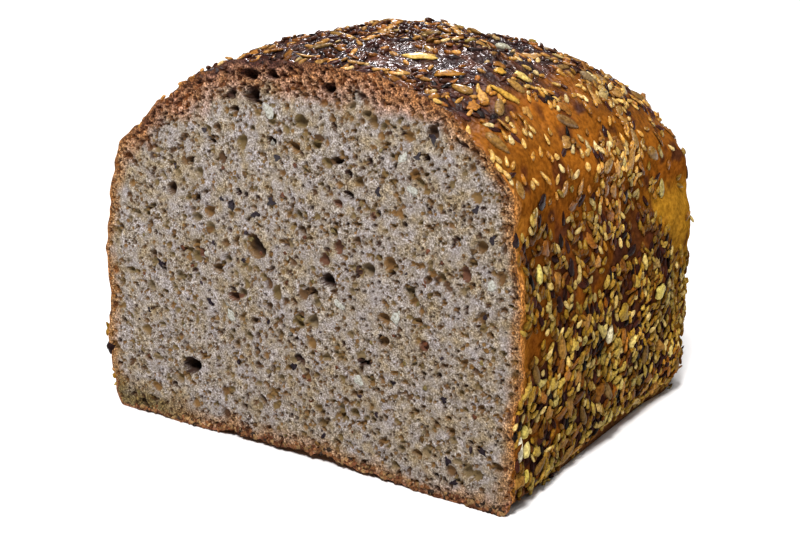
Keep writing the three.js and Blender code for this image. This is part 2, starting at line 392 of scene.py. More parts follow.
# Tones of the pore walls, as places on their colour ramp: painted shade that makes the walls darker than the
# open crumb, and painted shadow deep in a hole for the blackish ones
BLACKISH = 0.0
BROWN = 0.14
OCHRE = 0.32
OLIVE = 0.52
TAN = 0.74
RUSSET = 0.88
LARGE_PORES = (  # x, z, width, height, lean in degrees and tone of the pores that stand out
    (-12.5, 109, 6, 4.8, 0, BLACKISH), (-20.5, 109, 3.6, 3.2, 0, BLACKISH), (-13.5, 115, 7, 3.6, 4, BLACKISH),
    (-5, 115.5, 4.2, 3.4, 0, BLACKISH), (15, 113, 5, 3.2, 0, BLACKISH), (-19.5, 104.5, 3.5, 2.3, 0, BROWN),
    (-26.5, 98.5, 2.4, 3.3, 0, BROWN), (-29, 94.5, 3.6, 2.1, -30, BROWN), (-40, 94.5, 2.2, 2.8, 0, BROWN),
    (-17, 95, 3.5, 4.6, 0, OLIVE), (-6, 96.5, 4.1, 2.6, 0, BROWN), (5, 103, 4.6, 4.4, 0, OLIVE),
    (2.5, 95.5, 4.7, 3.2, -20, OCHRE), (10.5, 97, 3.9, 2.7, 0, OLIVE), (-38, 87.5, 3.7, 2.2, 0, BROWN),
    (-46, 78, 4.2, 4.4, -35, BROWN), (-36, 76, 2.9, 2.8, 0, BROWN), (-22, 75.5, 2.8, 2.8, 0, BLACKISH),
    (-19, 80, 2.8, 2.1, 0, BLACKISH), (-31, 72.5, 4.1, 3.8, 0, OCHRE), (-13, 64, 8.4, 6.2, -35, OCHRE),
    (14, 58, 4.8, 4.5, 0, BLACKISH), (-5, 51, 3.7, 4.7, 0, OLIVE), (7, 53.5, 3.3, 2.7, 0, BROWN),
    (3, 43.5, 4.5, 3.7, -25, OLIVE), (8.5, 44.5, 4.8, 3.7, 0, TAN), (2.5, 32, 3.4, 2.9, 0, BLACKISH),
    (28.5, 63.5, 4.8, 3.8, -25, TAN), (18, 68.5, 3.5, 4.1, 0, RUSSET), (35.5, 66, 3.6, 5, 0, OCHRE),
    (24.5, 62, 1.8, 3.5, 0, BLACKISH), (-22, 47, 5.5, 3.2, 0, RUSSET), (26.5, 35.5, 4.9, 2.1, 0, BLACKISH),
    (33.5, 50, 4.1, 3.5, 0, OCHRE), (17.5, 93, 4.9, 2.6, 10, BROWN), (29, 94, 2.1, 2.6, 0, BLACKISH),
    (47.5, 97, 2.6, 2.2, 0, BLACKISH), (22, 84, 3.5, 2, -30, BLACKISH), (30, 79, 2.7, 2.5, 0, RUSSET),
    (-41, 21, 8.5, 5.2, 20, BLACKISH), (18, 81, 3.2, 2.6, 0, RUSSET), (13, 64, 3.6, 3.8, 0, RUSSET),
    (-34.5, 59, 3.6, 3.2, 0, RUSSET), (44, 92, 3.2, 3.8, 0, OCHRE), (60, 67, 3.2, 4.6, 10, RUSSET),
    (47, 44.5, 3.2, 3.6, 0, RUSSET), (22, 90, 2.4, 2.6, 0, BLACKISH),
)
LARGE_DEPTH_DARK = 0.95  # depth of a large pore as a share of its width, for a dark and for a paler wall
LARGE_DEPTH_PALE = 0.5
LARGE_WOBBLE = 0.15
LARGE_SOFT = 0.9
PORE_KINDS = (  # count, least radius, most radius, depth in radii, range of tones
    (520, 0.95, 2.1, 0.95, (0.06, 0.7)),
    (1500, 0.6, 1.2, 1.5, (0.0, 0.6)),
    (2900, 0.42, 0.7, 1.9, (0.0, 0.5)),
)
ROOF_PORES = (1150, 0.48, 1.1, 2.2, (0.0, 0.25))  # the same for the band under the crown
ROOF_BAND = 10.0  # depth of the band under the crown that is full of dark pores
ROOF_THINS = (5, 50)  # x over which that band thins towards the right
ROOF_BAND_LOSS = 0.45
ROOF_PORE_LOSS = 0.5
FOOT_ZONE = 6.0  # height of the band over the base that has dark pores
# How the form of each pore is drawn
SMALL_BIAS = 1.7  # above 1, small radii are drawn more often
FLATNESS = (0.6, 1.0)
LEAN = 1.6  # most lean to either side, in radians
ROOF_FLATNESS = 0.8  # pores under the crown are flatter by this share
ROOF_LEAN = 0.5  # and lean with the crown, by up to this much more or less
DEPTH_VARIES = (0.5, 1.3)
WOBBLE = (0.05, 0.25)
SOFTNESS = (0.55, 0.92)
LAST_PHASE = 6.0
# How a pore is sunk into the mesh
PORE_WALL = 2.6  # steepness of the pore walls
PORE_CLEAR = 0.3  # a pore is left out where another one has taken this much
PORE_REACH = 1.35
PORE_RIM = 1.08
DRAWN_LEAST = 1.2  # the mesh is drawn to the edge of pores of this many cells or more
DRAWN_REACH = 0.5
ROOF = OUTLINE[OUTLINE[:, 1] > WIDEST]
ROOF = ROOF[np.argsort(ROOF[:, 0])]


class Pore(NamedTuple):
    """Place, half width, half height, lean, depth, unevenness, tone and softness of one pore."""

    x: float
    z: float
    wide: float
    high: float
    lean: float
    depth: float
    wobble: float
    phase: float
    tone: float
    soft: float


def rim_curve():
    """Edge of the crumb: the edge of the crust at the cut, moved in a little."""
    around = np.linspace(0, 1, RIM_STEPS, endpoint=False)
    places, _ = crust_surface(around, np.zeros(RIM_STEPS))
    curve = places[:, [0, 2]]
    ahead = np.roll(curve, -RIM_SPAN, axis=0) - np.roll(curve, RIM_SPAN, axis=0)
    ahead /= np.linalg.norm(ahead, axis=1, keepdims=True)
    inset = curve + RIM * np.column_stack([ahead[:, 1], -ahead[:, 0]])
    return np.column_stack([inset[:, 0], np.maximum(inset[:, 1], RIM)])


def drawn_in(ring):
    """The ring moved back into the loaf by the depth of the crumb piece, and narrowed."""
    middle = np.array([0, FRONT, CROWN_HEIGHT / 2])
    narrow = 1 - SLAB_TAPER
    return middle + (ring - middle) * np.array([narrow, 1, narrow]) + np.array([0, SLAB, 0])


def inside_rim(columns, rows, rim):
    following = np.roll(rim, -1, axis=0)
    inside = np.zeros((len(rows), len(columns)), bool)
    for i, level in enumerate(rows):
        crossing = (rim[:, 1] > level) != (following[:, 1] > level)
        a = rim[crossing]
        b = following[crossing]
        where = a[:, 0] + (level - a[:, 1]) * (b[:, 0] - a[:, 0]) / (b[:, 1] - a[:, 1])
        inside[i] = (where[:, None] > columns[None]).sum(axis=0) % 2 == 1
    return inside


def rim_distance(x, z, rim):
    """Distance of each place from the rim, and the nearest place on it."""
    distance = np.empty(x.shape)
    nearest = np.empty(x.shape + (2,))
    for i in range(len(x)):
        gaps = (x[i][:, None] - rim[None, :, 0]) ** 2 + (z[i][:, None] - rim[None, :, 1]) ** 2
        best = gaps.argmin(axis=1)
        distance[i] = np.sqrt(gaps[np.arange(len(best)), best])
        nearest[i] = rim[best]
    return distance, nearest


# Widths of the browned band along each side of the cut, and of the browner edge at the rim
BAND_TOP = 12.0
BAND_FOOT = 6.0
BAND_CORNER = 7.0  # the band is this much wider in the lower left corner
BAND_LEFT = 6.0
BAND_RIGHT = 4.5
BAND_NOISE = ((8.0, 0.4, 21), (2.5, 0.25, 22))
BAND_FULL = 0.25  # share of the band that is browned in full
EDGE_START = 0.2
EDGE_WIDTH = 1.4
EDGE_WIDTH_ROOF = 3.2  # the edge is this much wider under the crown
EDGE_NOISE = ((1.8, 1.0, 23),)
EDGE_WANDER = 0.4
RIM_WIDTH = 1.0
RIM_FULL = 0.3
# Where they change, by x and z
ROOF_RISE = (74, 96)
ROOF_RIGHT = (38, 66)
ROOF_LEFT = (54, 74)
FOOT_FADE = (5, 18)
BASE_FADE = (3, 12)
CORNER_RANGE = (30, 60)
RIGHT_TURN = (-5, 25)
LEFT_SLOPE = (18, 40)
# Colours that the crumb is multiplied by
BAND_TINT_TOP = np.array([1.12, 0.66, 0.41])
BAND_TINT_SIDE = np.array([1.02, 0.67, 0.36])
BAND_TINT_FOOT = np.array([0.92, 0.65, 0.44])
BAND_TINT_CORNER = np.array([0.50, 0.42, 0.19])
EDGE_TINT_FOOT = np.array([0.78, 0.37, 0.21])
EDGE_TINT_TOP = np.array([0.31, 0.14, 0.125])
EDGE_TINT_LEFT = np.array([0.58, 0.29, 0.18])
RIM_TINT_LEFT = np.array([0.95, 0.47, 0.19])
EDGE_TINT_RIGHT = np.array([1.04, 0.53, 0.24])
EDGE_TINT_SIDE = np.array([1.0, 0.52, 0.19])
PAINTED_LIGHT_SLOPE = np.array([0.11, 0.13, 0.15])  # painted light and shade: the crumb is paler and bluer at its upper left, deeper at its lower right


def crumb_tint(x, z, distance):
    """Colour that the crumb is multiplied by, browner towards the crust and with painted light paler at the
    upper left, and how far it is browned.
    """
    places = np.stack([x, np.zeros_like(x), z], axis=-1)
    roof = smoothstep(z, *ROOF_RISE) * fall(x, *ROOF_RIGHT) * fall(-x, *ROOF_LEFT)
    foot = fall(z, *FOOT_FADE)
    base = fall(z, *BASE_FADE)
    corner = foot * smoothstep(-x, *CORNER_RANGE)
    slope = smoothstep(-x, *LEFT_SLOPE)
    side = np.where(x < 0, BAND_LEFT, BAND_RIGHT)
    band = side + (BAND_TOP - side) * roof + (BAND_FOOT - side) * foot + BAND_CORNER * corner
    band = band * (1 + noise_sum(places, BAND_NOISE))
    browned = fall(distance, BAND_FULL * band, band)
    wander = (EDGE_WANDER + roof) * noise_sum(places, EDGE_NOISE)
    edge = fall(distance + wander, EDGE_START, EDGE_WIDTH + EDGE_WIDTH_ROOF * roof)
    golden = slope * fall(distance, RIM_FULL * RIM_WIDTH, RIM_WIDTH)
    band_tint = mixed(BAND_TINT_SIDE, BAND_TINT_TOP, roof)
    band_tint = mixed(band_tint, BAND_TINT_FOOT, base)
    band_tint = mixed(band_tint, BAND_TINT_CORNER, corner)
    roof_tint = mixed(EDGE_TINT_TOP, EDGE_TINT_RIGHT, smoothstep(x, *RIGHT_TURN))
    roof_tint = mixed(roof_tint, EDGE_TINT_LEFT, slope)
    roof_tint = mixed(roof_tint, RIM_TINT_LEFT, golden)
    edge_tint = mixed(EDGE_TINT_SIDE, roof_tint, roof)
    edge_tint = mixed(edge_tint, EDGE_TINT_FOOT, base)
    middle = CROWN_HEIGHT / 2
    # painted light: a share that grows towards the upper left, where the crumb is painted paler
    painted_light_share = ((z - middle) / middle - x / HALF_WIDTH)[..., None] / 2
    tint = (1 + PAINTED_LIGHT_SLOPE * painted_light_share) * mixed(1, band_tint, browned)
    return mixed(tint, edge_tint, edge), browned


def near_roof(x, z):
    """Whether a place on the cut lies in the band under the crown, which thins towards the right."""
    deep = ROOF_BAND * (1 - ROOF_BAND_LOSS * smoothstep(x, *ROOF_THINS))
    return np.interp(x, ROOF[:, 0], ROOF[:, 1]) - z < deep


def crumb_pores(rng):
    """Every pore of the cut face, the large ones first."""
    pores = []
    for x, z, width, height, lean, tone in LARGE_PORES:
        depth = width * (LARGE_DEPTH_DARK if tone < OCHRE else LARGE_DEPTH_PALE)
        phase = rng.uniform(0, LAST_PHASE)
        lean = math.radians(lean)
        pores.append(Pore(x, z, width / 2, height / 2, lean, depth, LARGE_WOBBLE, phase, tone, LARGE_SOFT))
    for kind in (*PORE_KINDS, ROOF_PORES):
        count, least, most, deep, tones = kind
        made = 0
        while made < count:
            x = rng.uniform(-HALF_WIDTH, HALF_WIDTH)
            z = rng.uniform(0, CROWN_HEIGHT)
            near_top = near_roof(x, z)
            thinned = rng.uniform() < ROOF_PORE_LOSS * smoothstep(x, *ROOF_THINS)
            if kind is ROOF_PORES and (thinned or not near_top):
                continue
            made += 1
            radius = least + (most - least) * rng.uniform() ** SMALL_BIAS
            flat = rng.uniform(*FLATNESS)
            lean = rng.uniform(-LEAN, LEAN)
            if near_top:
                flat *= ROOF_FLATNESS
                lean = -ROOF_LEAN * x / HALF_WIDTH + rng.uniform(-ROOF_LEAN, ROOF_LEAN)
            depth = deep * radius * rng.uniform(*DEPTH_VARIES)
            wobble = rng.uniform(*WOBBLE)
            phase = rng.uniform(0, LAST_PHASE)
            tone = rng.uniform(*(ROOF_PORES[-1] if near_top or z < FOOT_ZONE else tones))
            soft = rng.uniform(*SOFTNESS)
            pores.append(Pore(x, z, radius, radius * flat, lean, depth, wobble, phase, tone, soft))
    return pores


def carve(face, pore):
    """Sinks one pore into the crumb's mesh, with the mesh drawn to the pore's edge."""
    row = min(np.searchsorted(face.rows, pore.z), len(face.rows) - 1)
    column = min(np.searchsorted(face.columns, pore.x), len(face.columns) - 1)
    if face.inside[row, column] > PORE_CLEAR:
        return
    reach = PORE_REACH * max(pore.wide, pore.high) + CELL
    c0, c1 = np.searchsorted(face.columns, (pore.x - reach, pore.x + reach))
    r0, r1 = np.searchsorted(face.rows, (pore.z - reach, pore.z + reach))
    if c1 <= c0 or r1 <= r0:
        return
    window = (slice(r0, r1), slice(c0, c1))
    dx = face.x[window] - pore.x
    dz = face.z[window] - pore.z
    u = (dx * math.cos(pore.lean) + dz * math.sin(pore.lean)) / pore.wide
    v = (dz * math.cos(pore.lean) - dx * math.sin(pore.lean)) / pore.high
    angle = np.arctan2(v, u)
    edge = 1 + pore.wobble * (np.sin(2 * angle + pore.phase) + np.sin(3 * angle + 2 * pore.phase)) / 2
    r = np.hypot(u, v) / edge
    hollow = pore.depth * np.sqrt(np.maximum(1 - np.minimum(r, 1) ** PORE_WALL, 0))
    within = fall(r, pore.soft, PORE_RIM)
    face.tone[window] = np.where(within > face.inside[window], pore.tone, face.tone[window])
    face.inside[window] = np.maximum(face.inside[window], within)
    face.sink[window] = np.maximum(face.sink[window], hollow)
    narrow = min(pore.wide, pore.high)
    if narrow < DRAWN_LEAST * CELL:
        return
    drawn = (np.abs(r - 1) * narrow < DRAWN_REACH * CELL) & ~face.fixed[window]
    scale = np.where(drawn, 1 / np.maximum(r, TINY), 1)
    face.x[window] = pore.x + dx * scale
    face.z[window] = pore.z + dz * scale
    face.sink[window] = np.where(drawn, 0, face.sink[window])
    face.fixed[window] |= drawn


def boundary_loop(quads):
    """Corner numbers round the edge of a patch of faces, in order."""
    edges = np.concatenate([quads[:, [i, (i + 1) % 4]] for i in range(4)])
    pairs = set(map(tuple, edges.tolist()))
    ahead = {a: b for a, b in pairs if (b, a) not in pairs}
    loop = [min(ahead)]
    while ahead[loop[-1]] != loop[0]:
        loop.append(ahead[loop[-1]])
    return loop


def cut_grid(rim):
    """Grid over the cut face, drawn to the rim at its edge, with no pores yet."""
    columns = np.arange(rim[:, 0].min(), rim[:, 0].max() + CELL, CELL)
    rows = np.arange(0, rim[:, 1].max() + CELL, CELL)
    x, z = np.meshgrid(columns, rows)
    inside = inside_rim(columns, rows, rim)
    distance, nearest = rim_distance(x, z, rim)
    whole = inside[:-1, :-1] & inside[1:, :-1] & inside[:-1, 1:] & inside[1:, 1:]
    touching = np.zeros((4,) + x.shape, bool)
    touching[0, :-1, :-1] = whole
    touching[1, 1:, :-1] = whole
    touching[2, :-1, 1:] = whole
    touching[3, 1:, 1:] = whole
    used = touching.any(axis=0)
    at_edge = used & ~touching.all(axis=0)
    x[at_edge] = nearest[at_edge][:, 0]
    z[at_edge] = nearest[at_edge][:, 1]
    distance[at_edge] = 0
    face = SimpleNamespace(columns=columns, rows=rows, x=x, z=z, distance=distance, whole=whole, used=used)
    face.at_edge = at_edge
    face.fixed = at_edge.copy()
    face.sink, face.inside, face.tone = np.zeros((3,) + x.shape)
    return face


def build_crumb(material):
    face = cut_grid(rim_curve())
    for pore in crumb_pores(np.random.default_rng(CRUMB_DRAW)):
        carve(face, pore)
    used = face.used
    clear = smoothstep(face.distance, *EDGE_CLEAR)
    places = np.stack([face.x, np.zeros_like(face.x), face.z], axis=-1)
    sink = np.minimum(face.sink, SLAB_SLOPE * face.distance)
    depth = np.where(face.at_edge, 0, (sink + noise_sum(places, CRUMB_RELIEF)) * clear)
    number = np.full(used.shape, -1)
    number[used] = np.arange(used.sum())
    corners = np.stack([number[:-1, :-1], number[:-1, 1:], number[1:, 1:], number[1:, :-1]], axis=-1)
    quads = corners[face.whole]
    verts = np.column_stack([face.x[used], FRONT + depth[used], face.z[used]])
    loop = boundary_loop(quads)
    back = drawn_in(verts[loop])
    count = len(verts)
    ring = list(range(count, count + len(loop)))
    walls = [[loop[i], ring[i], ring[i - 1], loop[i - 1]] for i in range(len(loop))]
    verts = np.vstack([verts, back])
    faces = quads.tolist() + walls + [ring]
    tint, browned = crumb_tint(face.x, face.z, face.distance)
    tint = tint[used]
    behind = np.zeros(len(loop))
    # depth of each pore and share inside one, which the crumb's material turns into painted shade
    values = {"hollow": face.sink * clear, "inside": face.inside * clear}
    values |= {"tone": face.tone, "browned": browned}
    values = {name: np.concatenate([value[used], behind]) for name, value in values.items()}
    add_piece("crumb", verts, faces, material, values, np.vstack([tint, tint[loop]]))


# Colour stops of the crumb
MOTTLED_STOPS = ((0.32, (0.105, 0.086, 0.068)), (0.5, (0.22, 0.189, 0.159)), (0.68, (0.43, 0.395, 0.365)))
CALM_STOPS = ((0.32, (0.13, 0.108, 0.088)), (0.5, (0.21, 0.18, 0.154)), (0.68, (0.335, 0.305, 0.28)))
SHADE_STOPS = ((0.33, (0.60, 0.55, 0.48)), (0.64, (1.16, 1.16, 1.16)))
CLOUD_STOPS = ((0.32, (1.06, 1.08, 1.21)), (0.5, (1.0, 0.98, 0.95)), (0.68, (0.96, 0.85, 0.62)))
GRAIN_STOPS = ((0.38, (0.4, 0.34, 0.3)), (0.5, (0.95, 0.94, 0.93)), (0.62, (1.7, 1.73, 1.78)))
# painted shade: colours of the pore walls, darker than the open crumb
PORE_SHADE_STOPS = (
    (BLACKISH, (0.035, 0.016, 0.011)), (BROWN, (0.085, 0.044, 0.019)), (OCHRE, (0.158, 0.082, 0.026)),
    (OLIVE, (0.132, 0.089, 0.034)), (TAN, (0.165, 0.12, 0.066)), (RUSSET, (0.105, 0.044, 0.024)),
    (1.0, (0.035, 0.026, 0.028)),
)
# painted shade: dark spots that stand for pores too small for the mesh
SMALL_PORE_SHADE_STOPS = (
    (0.0, (0.03, 0.018, 0.012)), (0.3, (0.075, 0.05, 0.027)), (0.65, (0.115, 0.088, 0.045)),
    (1.0, (0.16, 0.125, 0.075)),
)
BRAN = (0.60, 0.58, 0.57)
# painted shade at the bottom of the deeper pores
DEEP_PORE_SHADE = (0.028, 0.015, 0.009)


def crumb_material():
    shader = Shader("crumb")
    fine = shader.noise(0.5, rough=0.6)
    middle = shader.noise(2.0)
    shade = shader.ramp(middle, SHADE_STOPS)
    calm = shader.fade(shader.noise(6.0, detail=1.0), 0.42, 0.62, 0.0, 0.75)
    colour = shader.multiply(shader.ramp(fine, MOTTLED_STOPS), shade)
    colour = shader.mix(calm, colour, shader.ramp(fine, CALM_STOPS))
    colour = shader.multiply(colour, shader.ramp(shader.noise(4.5), CLOUD_STOPS))
    small, small_tone = shader.cells(1.2, 0.3, 0.46, share=0.8)
    small = shader.math("MULTIPLY", small, shader.fade(calm, 0, 1, 1.0, 0.3))
    wide, wide_tone = shader.cells(2.2, 0.25, 0.38, share=0.5)
    speck, _ = shader.cells(1.5, 0.05, 0.12, share=1.0)
    # painted shade: spots darkened as small and wider pores that the mesh doesn't carve
    colour = shader.mix(small, colour, shader.ramp(small_tone, SMALL_PORE_SHADE_STOPS))
    colour = shader.mix(wide, colour, shader.ramp(shader.fade(wide_tone, 0, 1, BLACKISH, TAN), PORE_SHADE_STOPS))
    colour = shader.mix(speck, colour, BRAN)
    # painted shade: the walls of the carved pores take the pore colours, and their depths go darker still
    inside = shader.attribute("inside")
    wall = shader.multiply(shader.ramp(shader.attribute("tone"), PORE_SHADE_STOPS), shade, share=0.4)
    colour = shader.mix(inside, colour, wall)
    colour = shader.mix(shader.fade(shader.attribute("hollow"), 1.0, 3.3), colour, DEEP_PORE_SHADE)
    colour = shader.multiply(colour, shader.attribute("tint", "Color"))
    grain = shader.ramp(shader.noise(0.55, rough=0.6), GRAIN_STOPS)
    colour = shader.multiply(colour, grain, shader.attribute("browned"))
    height = shader.math("ADD", shader.math("MULTIPLY", fine, 0.7), shader.math("MULTIPLY", middle, 0.8))
    height = shader.math("SUBTRACT", height, small)
    height = shader.math("SUBTRACT", height, wide)
    height = shader.math("MULTIPLY", height, shader.fade(inside, 0, 1, 1.0, 0.25))
    normal = shader.bump(height, depth=0.35, strength=0.8)
    return shader.finish(Base_Color=colour, Roughness=0.8, Specular_IOR_Level=0.15, Normal=normal)


# Crust

CRUST_COLUMNS = 470
CRUST_STEP = 1.08
CRUST_SPAN = 2  # columns to either side over which the edge's direction is taken
FINE_ROWS = 2400
SAMPLE_COLUMNS = 24
CRUST_END = 0.96  # share of the crusted end's flat that the rings cover, before the last faces close it
LIP = 0.9  # the crust turns in by this much behind the crumb's edge
LIP_DEPTH = 0.5


def crust_rows():
    """Distances behind the cut that give even steps over the crust, ending on the crusted end's flat."""
    fine = np.linspace(0, LENGTH + CRUST_END * END_FLAT, FINE_ROWS)
    around = np.linspace(0, 1, SAMPLE_COLUMNS, endpoint=False)
    places = loaf_surface(around[None], fine[:, None])
    step = np.linalg.norm(np.diff(places, axis=0), axis=-1).mean(axis=1)
    run = np.concatenate([[0], np.cumsum(step)])
    return np.interp(np.arange(0, run[-1], CRUST_STEP), run, fine)


DARK_TOP = np.array([0.029, 0.015, 0.015])
CROWN_RUST = np.array([0.11, 0.037, 0.019])
BURGUNDY = np.array([0.075, 0.02, 0.008])
AMBER = np.array([0.232, 0.077, 0.008])
# painted shade: a deeper copy of the amber, for the walls below the shoulders
SHADED_WALL_AMBER = np.array([0.15, 0.046, 0.005])
TORN_EDGE = np.array([0.43, 0.195, 0.055])
STRIP_AMBER = np.array([0.34, 0.128, 0.015])
FOOT_BROWN = np.array([0.16, 0.056, 0.015])
OLIVE_AMBER = np.array([0.32, 0.153, 0.013])
# near-black brown of the low walls and dark spots: partly burnt glaze, partly painted shade between the seeds
LOW_BROWN_AND_SHADE = np.array([0.034, 0.012, 0.010])
BASE_BROWN = np.array([0.17, 0.075, 0.028])
DARKEST = 0.004
# Noises that lay out the colours
PATCHES = ((16.0, 1.0, 41), (6.0, 0.6, 42))
BLOTS = ((5.0, 1.0, 43), (2.5, 0.5, 44))
STREAKS = ((4.0, 1.0, 45),)
STREAK_SQUASH = np.array([1.0, 1.0, 0.5])  # makes the streaks upright
STREAK_CLOUDS = ((9.0, 0.5, 46),)
RUST_NOISE = ((4.0, 1.0, 47), (2.0, 0.5, 48))
# Smooth golden crust towards the far end of the right wall: y and z along its lower edge, and where it fades
GOLDEN_EDGE = np.array([(4, 72), (20, 60), (30, 36), (38, 15)])
GOLDEN_RISE = (-3, 7)
GOLDEN_START = (2, 16)
GOLDEN_TOP = (70, 80)
GOLDEN_SIDE = (52, 66)
# Golden strip of the walls along the cut
STRIP_REACH = (4, 9)
STRIP_FOOT = (22, 34)
STRIP_TOP = (84, 100)
STRIP_BLOTS = (-0.8, -0.1)
# Torn edge at the cut, which ends where the crust turns upward, further up on the left
TORN_REACH = (1.0, 3.2)
TORN_BLOT = 1.2
TORN_UP = 0.4
TORN_UP_LEFT = 0.3
TORN_UP_FADE = 0.3
TORN_LEFT = (20, 45)
# Where the other colours set in
NEAR_CUT = (5, 24)
LEFT_SIDE = (28, 56)
LOW_WALL = (40, 84)
LOW_PATCH = 16
LOW_NEAR_CUT = 24
LOW_BLOTS = (-0.7, -0.1)
RED_STREAKS = (0.2, 0.65)
SPOTS = (0.35, 0.75)
FOOT_HEIGHT = (4, 8)
FOOT_PATCH = 2
FOOT_START = (-50, -10)
BASE_EDGE_HEIGHT = (1.5, 4)
BASE_EDGE_REACH = (3, 6)
TOP_PATCH = 0.14
TOP_LEFT = 0.25
WINE_LEVEL = (0.76, 0.9)
TOP_LEVEL = (0.8, 0.96)
RUST_SPOTS = (0.05, 0.6)
UNDERSIDE = (-0.85, -0.5)
HIGH_WALL = (78, 98)


def bare_end(place):
    """How far a place belongs to the smooth golden crust towards the far end of the right wall."""
    x, y, z = np.moveaxis(place, -1, 0)
    above = z - np.interp(y, GOLDEN_EDGE[:, 0], GOLDEN_EDGE[:, 1])
    share = smoothstep(y, *GOLDEN_START) * smoothstep(above, *GOLDEN_RISE) * fall(z, *GOLDEN_TOP)
    return share * smoothstep(x, *GOLDEN_SIDE)


def cut_strip(place):
    """How far a place belongs to the golden strip of the walls along the cut."""
    z = place[..., 2]
    return fall(place[..., 1] - FRONT, *STRIP_REACH) * smoothstep(z, *STRIP_FOOT) * fall(z, *STRIP_TOP)


def torn_edge(place, outward):
    """How far a place belongs to the torn edge of the crust at the cut."""
    ragged = place[..., 1] - FRONT + TORN_BLOT * noise_sum(place, BLOTS)
    least = TORN_UP + TORN_UP_LEFT * smoothstep(-place[..., 0], *TORN_LEFT)
    return fall(ragged, *TORN_REACH) * fall(outward[..., 2], least, least + TORN_UP_FADE)


def crust_tint(place, outward):
    """Colour of the crust: dark on top, amber on the upper sides and, as painted shade, deeper amber lower on
    the walls; near black between the low seeds, partly burnt glaze and partly painted shade.
    """
    x, y, z = np.moveaxis(place, -1, 0)
    up = outward[..., 2]
    patch = noise_sum(place, PATCHES)
    blot = noise_sum(place, BLOTS)
    streak = noise_sum(place * STREAK_SQUASH, STREAKS) + noise_sum(place, STREAK_CLOUDS)
    near_cut = fall(y - FRONT, *NEAR_CUT)
    end = bare_end(place)
    # near black low on the walls and in spots: partly burnt glaze, partly painted shade between the seeds
    low = fall(z + LOW_PATCH * patch + LOW_NEAR_CUT * near_cut, *LOW_WALL) * (1 - 0.6 * end)
    spotted = 0.8 * smoothstep(blot, *SPOTS) * (1 - 0.75 * end)
    dark = np.maximum(spotted, low * smoothstep(blot, *LOW_BLOTS))
    strip = cut_strip(place) * smoothstep(blot, *STRIP_BLOTS)
    foot = fall(z + FOOT_PATCH * patch, *FOOT_HEIGHT) * smoothstep(y, *FOOT_START)
    base_edge = fall(z, *BASE_EDGE_HEIGHT) * fall(y - FRONT, *BASE_EDGE_REACH)
    level = up + TOP_PATCH * patch - TOP_LEFT * smoothstep(-x, *LEFT_SIDE) * near_cut
    crown = mixed(DARK_TOP, CROWN_RUST, 0.75 * smoothstep(noise_sum(place, RUST_NOISE), *RUST_SPOTS))
    # painted shade: the walls take a deeper amber than the shoulders
    tint = mixed(SHADED_WALL_AMBER, AMBER, smoothstep(z, *HIGH_WALL)) * np.clip(1 + 0.4 * patch[..., None], 0.4, 2)
    for weight, share, colour in (
        (1.0, end, OLIVE_AMBER),
        (0.8, smoothstep(streak, *RED_STREAKS), BURGUNDY),
        (1.0, dark, LOW_BROWN_AND_SHADE),
        (0.95, strip, STRIP_AMBER),
        (0.8, foot, FOOT_BROWN),
        (0.6, smoothstep(level, *WINE_LEVEL), BURGUNDY),
        (1.0, smoothstep(level, *TOP_LEVEL), crown),
        (0.8, torn_edge(place, outward), TORN_EDGE),
        (1.0, fall(up, *UNDERSIDE), BASE_BROWN),
        (0.7, base_edge, BURGUNDY),
    ):
        tint = mixed(tint, colour, weight * share)
    return np.clip(tint, DARKEST, 1)


GLAZED = (0.5, 0.9)  # upward part of the outward direction over which the glaze of the top sets in


def build_crust(material):
    behind = crust_rows()
    around = np.linspace(0, 1, CRUST_COLUMNS, endpoint=False)
    places, outward = crust_surface(around[None], behind[:, None])
    places[..., 2] = np.maximum(places[..., 2], 0)
    tint = crust_tint(places, outward)
    front = places[0]
    ahead = np.roll(front, -CRUST_SPAN, axis=0) - np.roll(front, CRUST_SPAN, axis=0)
    ahead /= np.linalg.norm(ahead, axis=1, keepdims=True)
    inward = np.column_stack([ahead[:, 2], np.zeros(len(front)), -ahead[:, 0]])
    edge = front + inward * LIP + np.array([0, LIP_DEPTH, 0])
    rings = np.concatenate([drawn_in(edge)[None], edge[None], places])
    rows = len(rings)
    end_middle = np.array([0, FRONT + LENGTH, WIDEST / 2])
    recess_middle = np.array([0, FRONT + SLAB + LIP_DEPTH, WIDEST])
    verts = np.vstack([rings.reshape(-1, 3), end_middle, recess_middle])
    faces = grid_quads(rows, CRUST_COLUMNS)[:, ::-1].tolist()
    last = (rows - 1) * CRUST_COLUMNS
    total = rows * CRUST_COLUMNS
    for i in range(CRUST_COLUMNS):
        j = (i + 1) % CRUST_COLUMNS
        faces.append([last + j, last + i, total])
        faces.append([i, j, total + 1])
    colours = np.concatenate([tint[:1], tint[:1], tint]).reshape(-1, 3)
    colours = np.vstack([colours, colours[-1:], colours[:1]])
    values = {"glaze": smoothstep(outward[..., 2], *GLAZED), "torn": torn_edge(places, outward)}
    for name, value in values.items():
        values[name] = np.concatenate([value[0], value[0], value.ravel(), [0, 0]])
    add_piece("crust", verts, faces, material, values, colours)


CRUST_STOPS = ((0.35, (0.66, 0.60, 0.56)), (0.65, (1.18, 1.18, 1.15)))
TORN_STOPS = ((0.36, (0.35, 0.28, 0.24)), (0.5, (0.85, 0.8, 0.76)), (0.64, (1.6, 1.65, 1.8)))


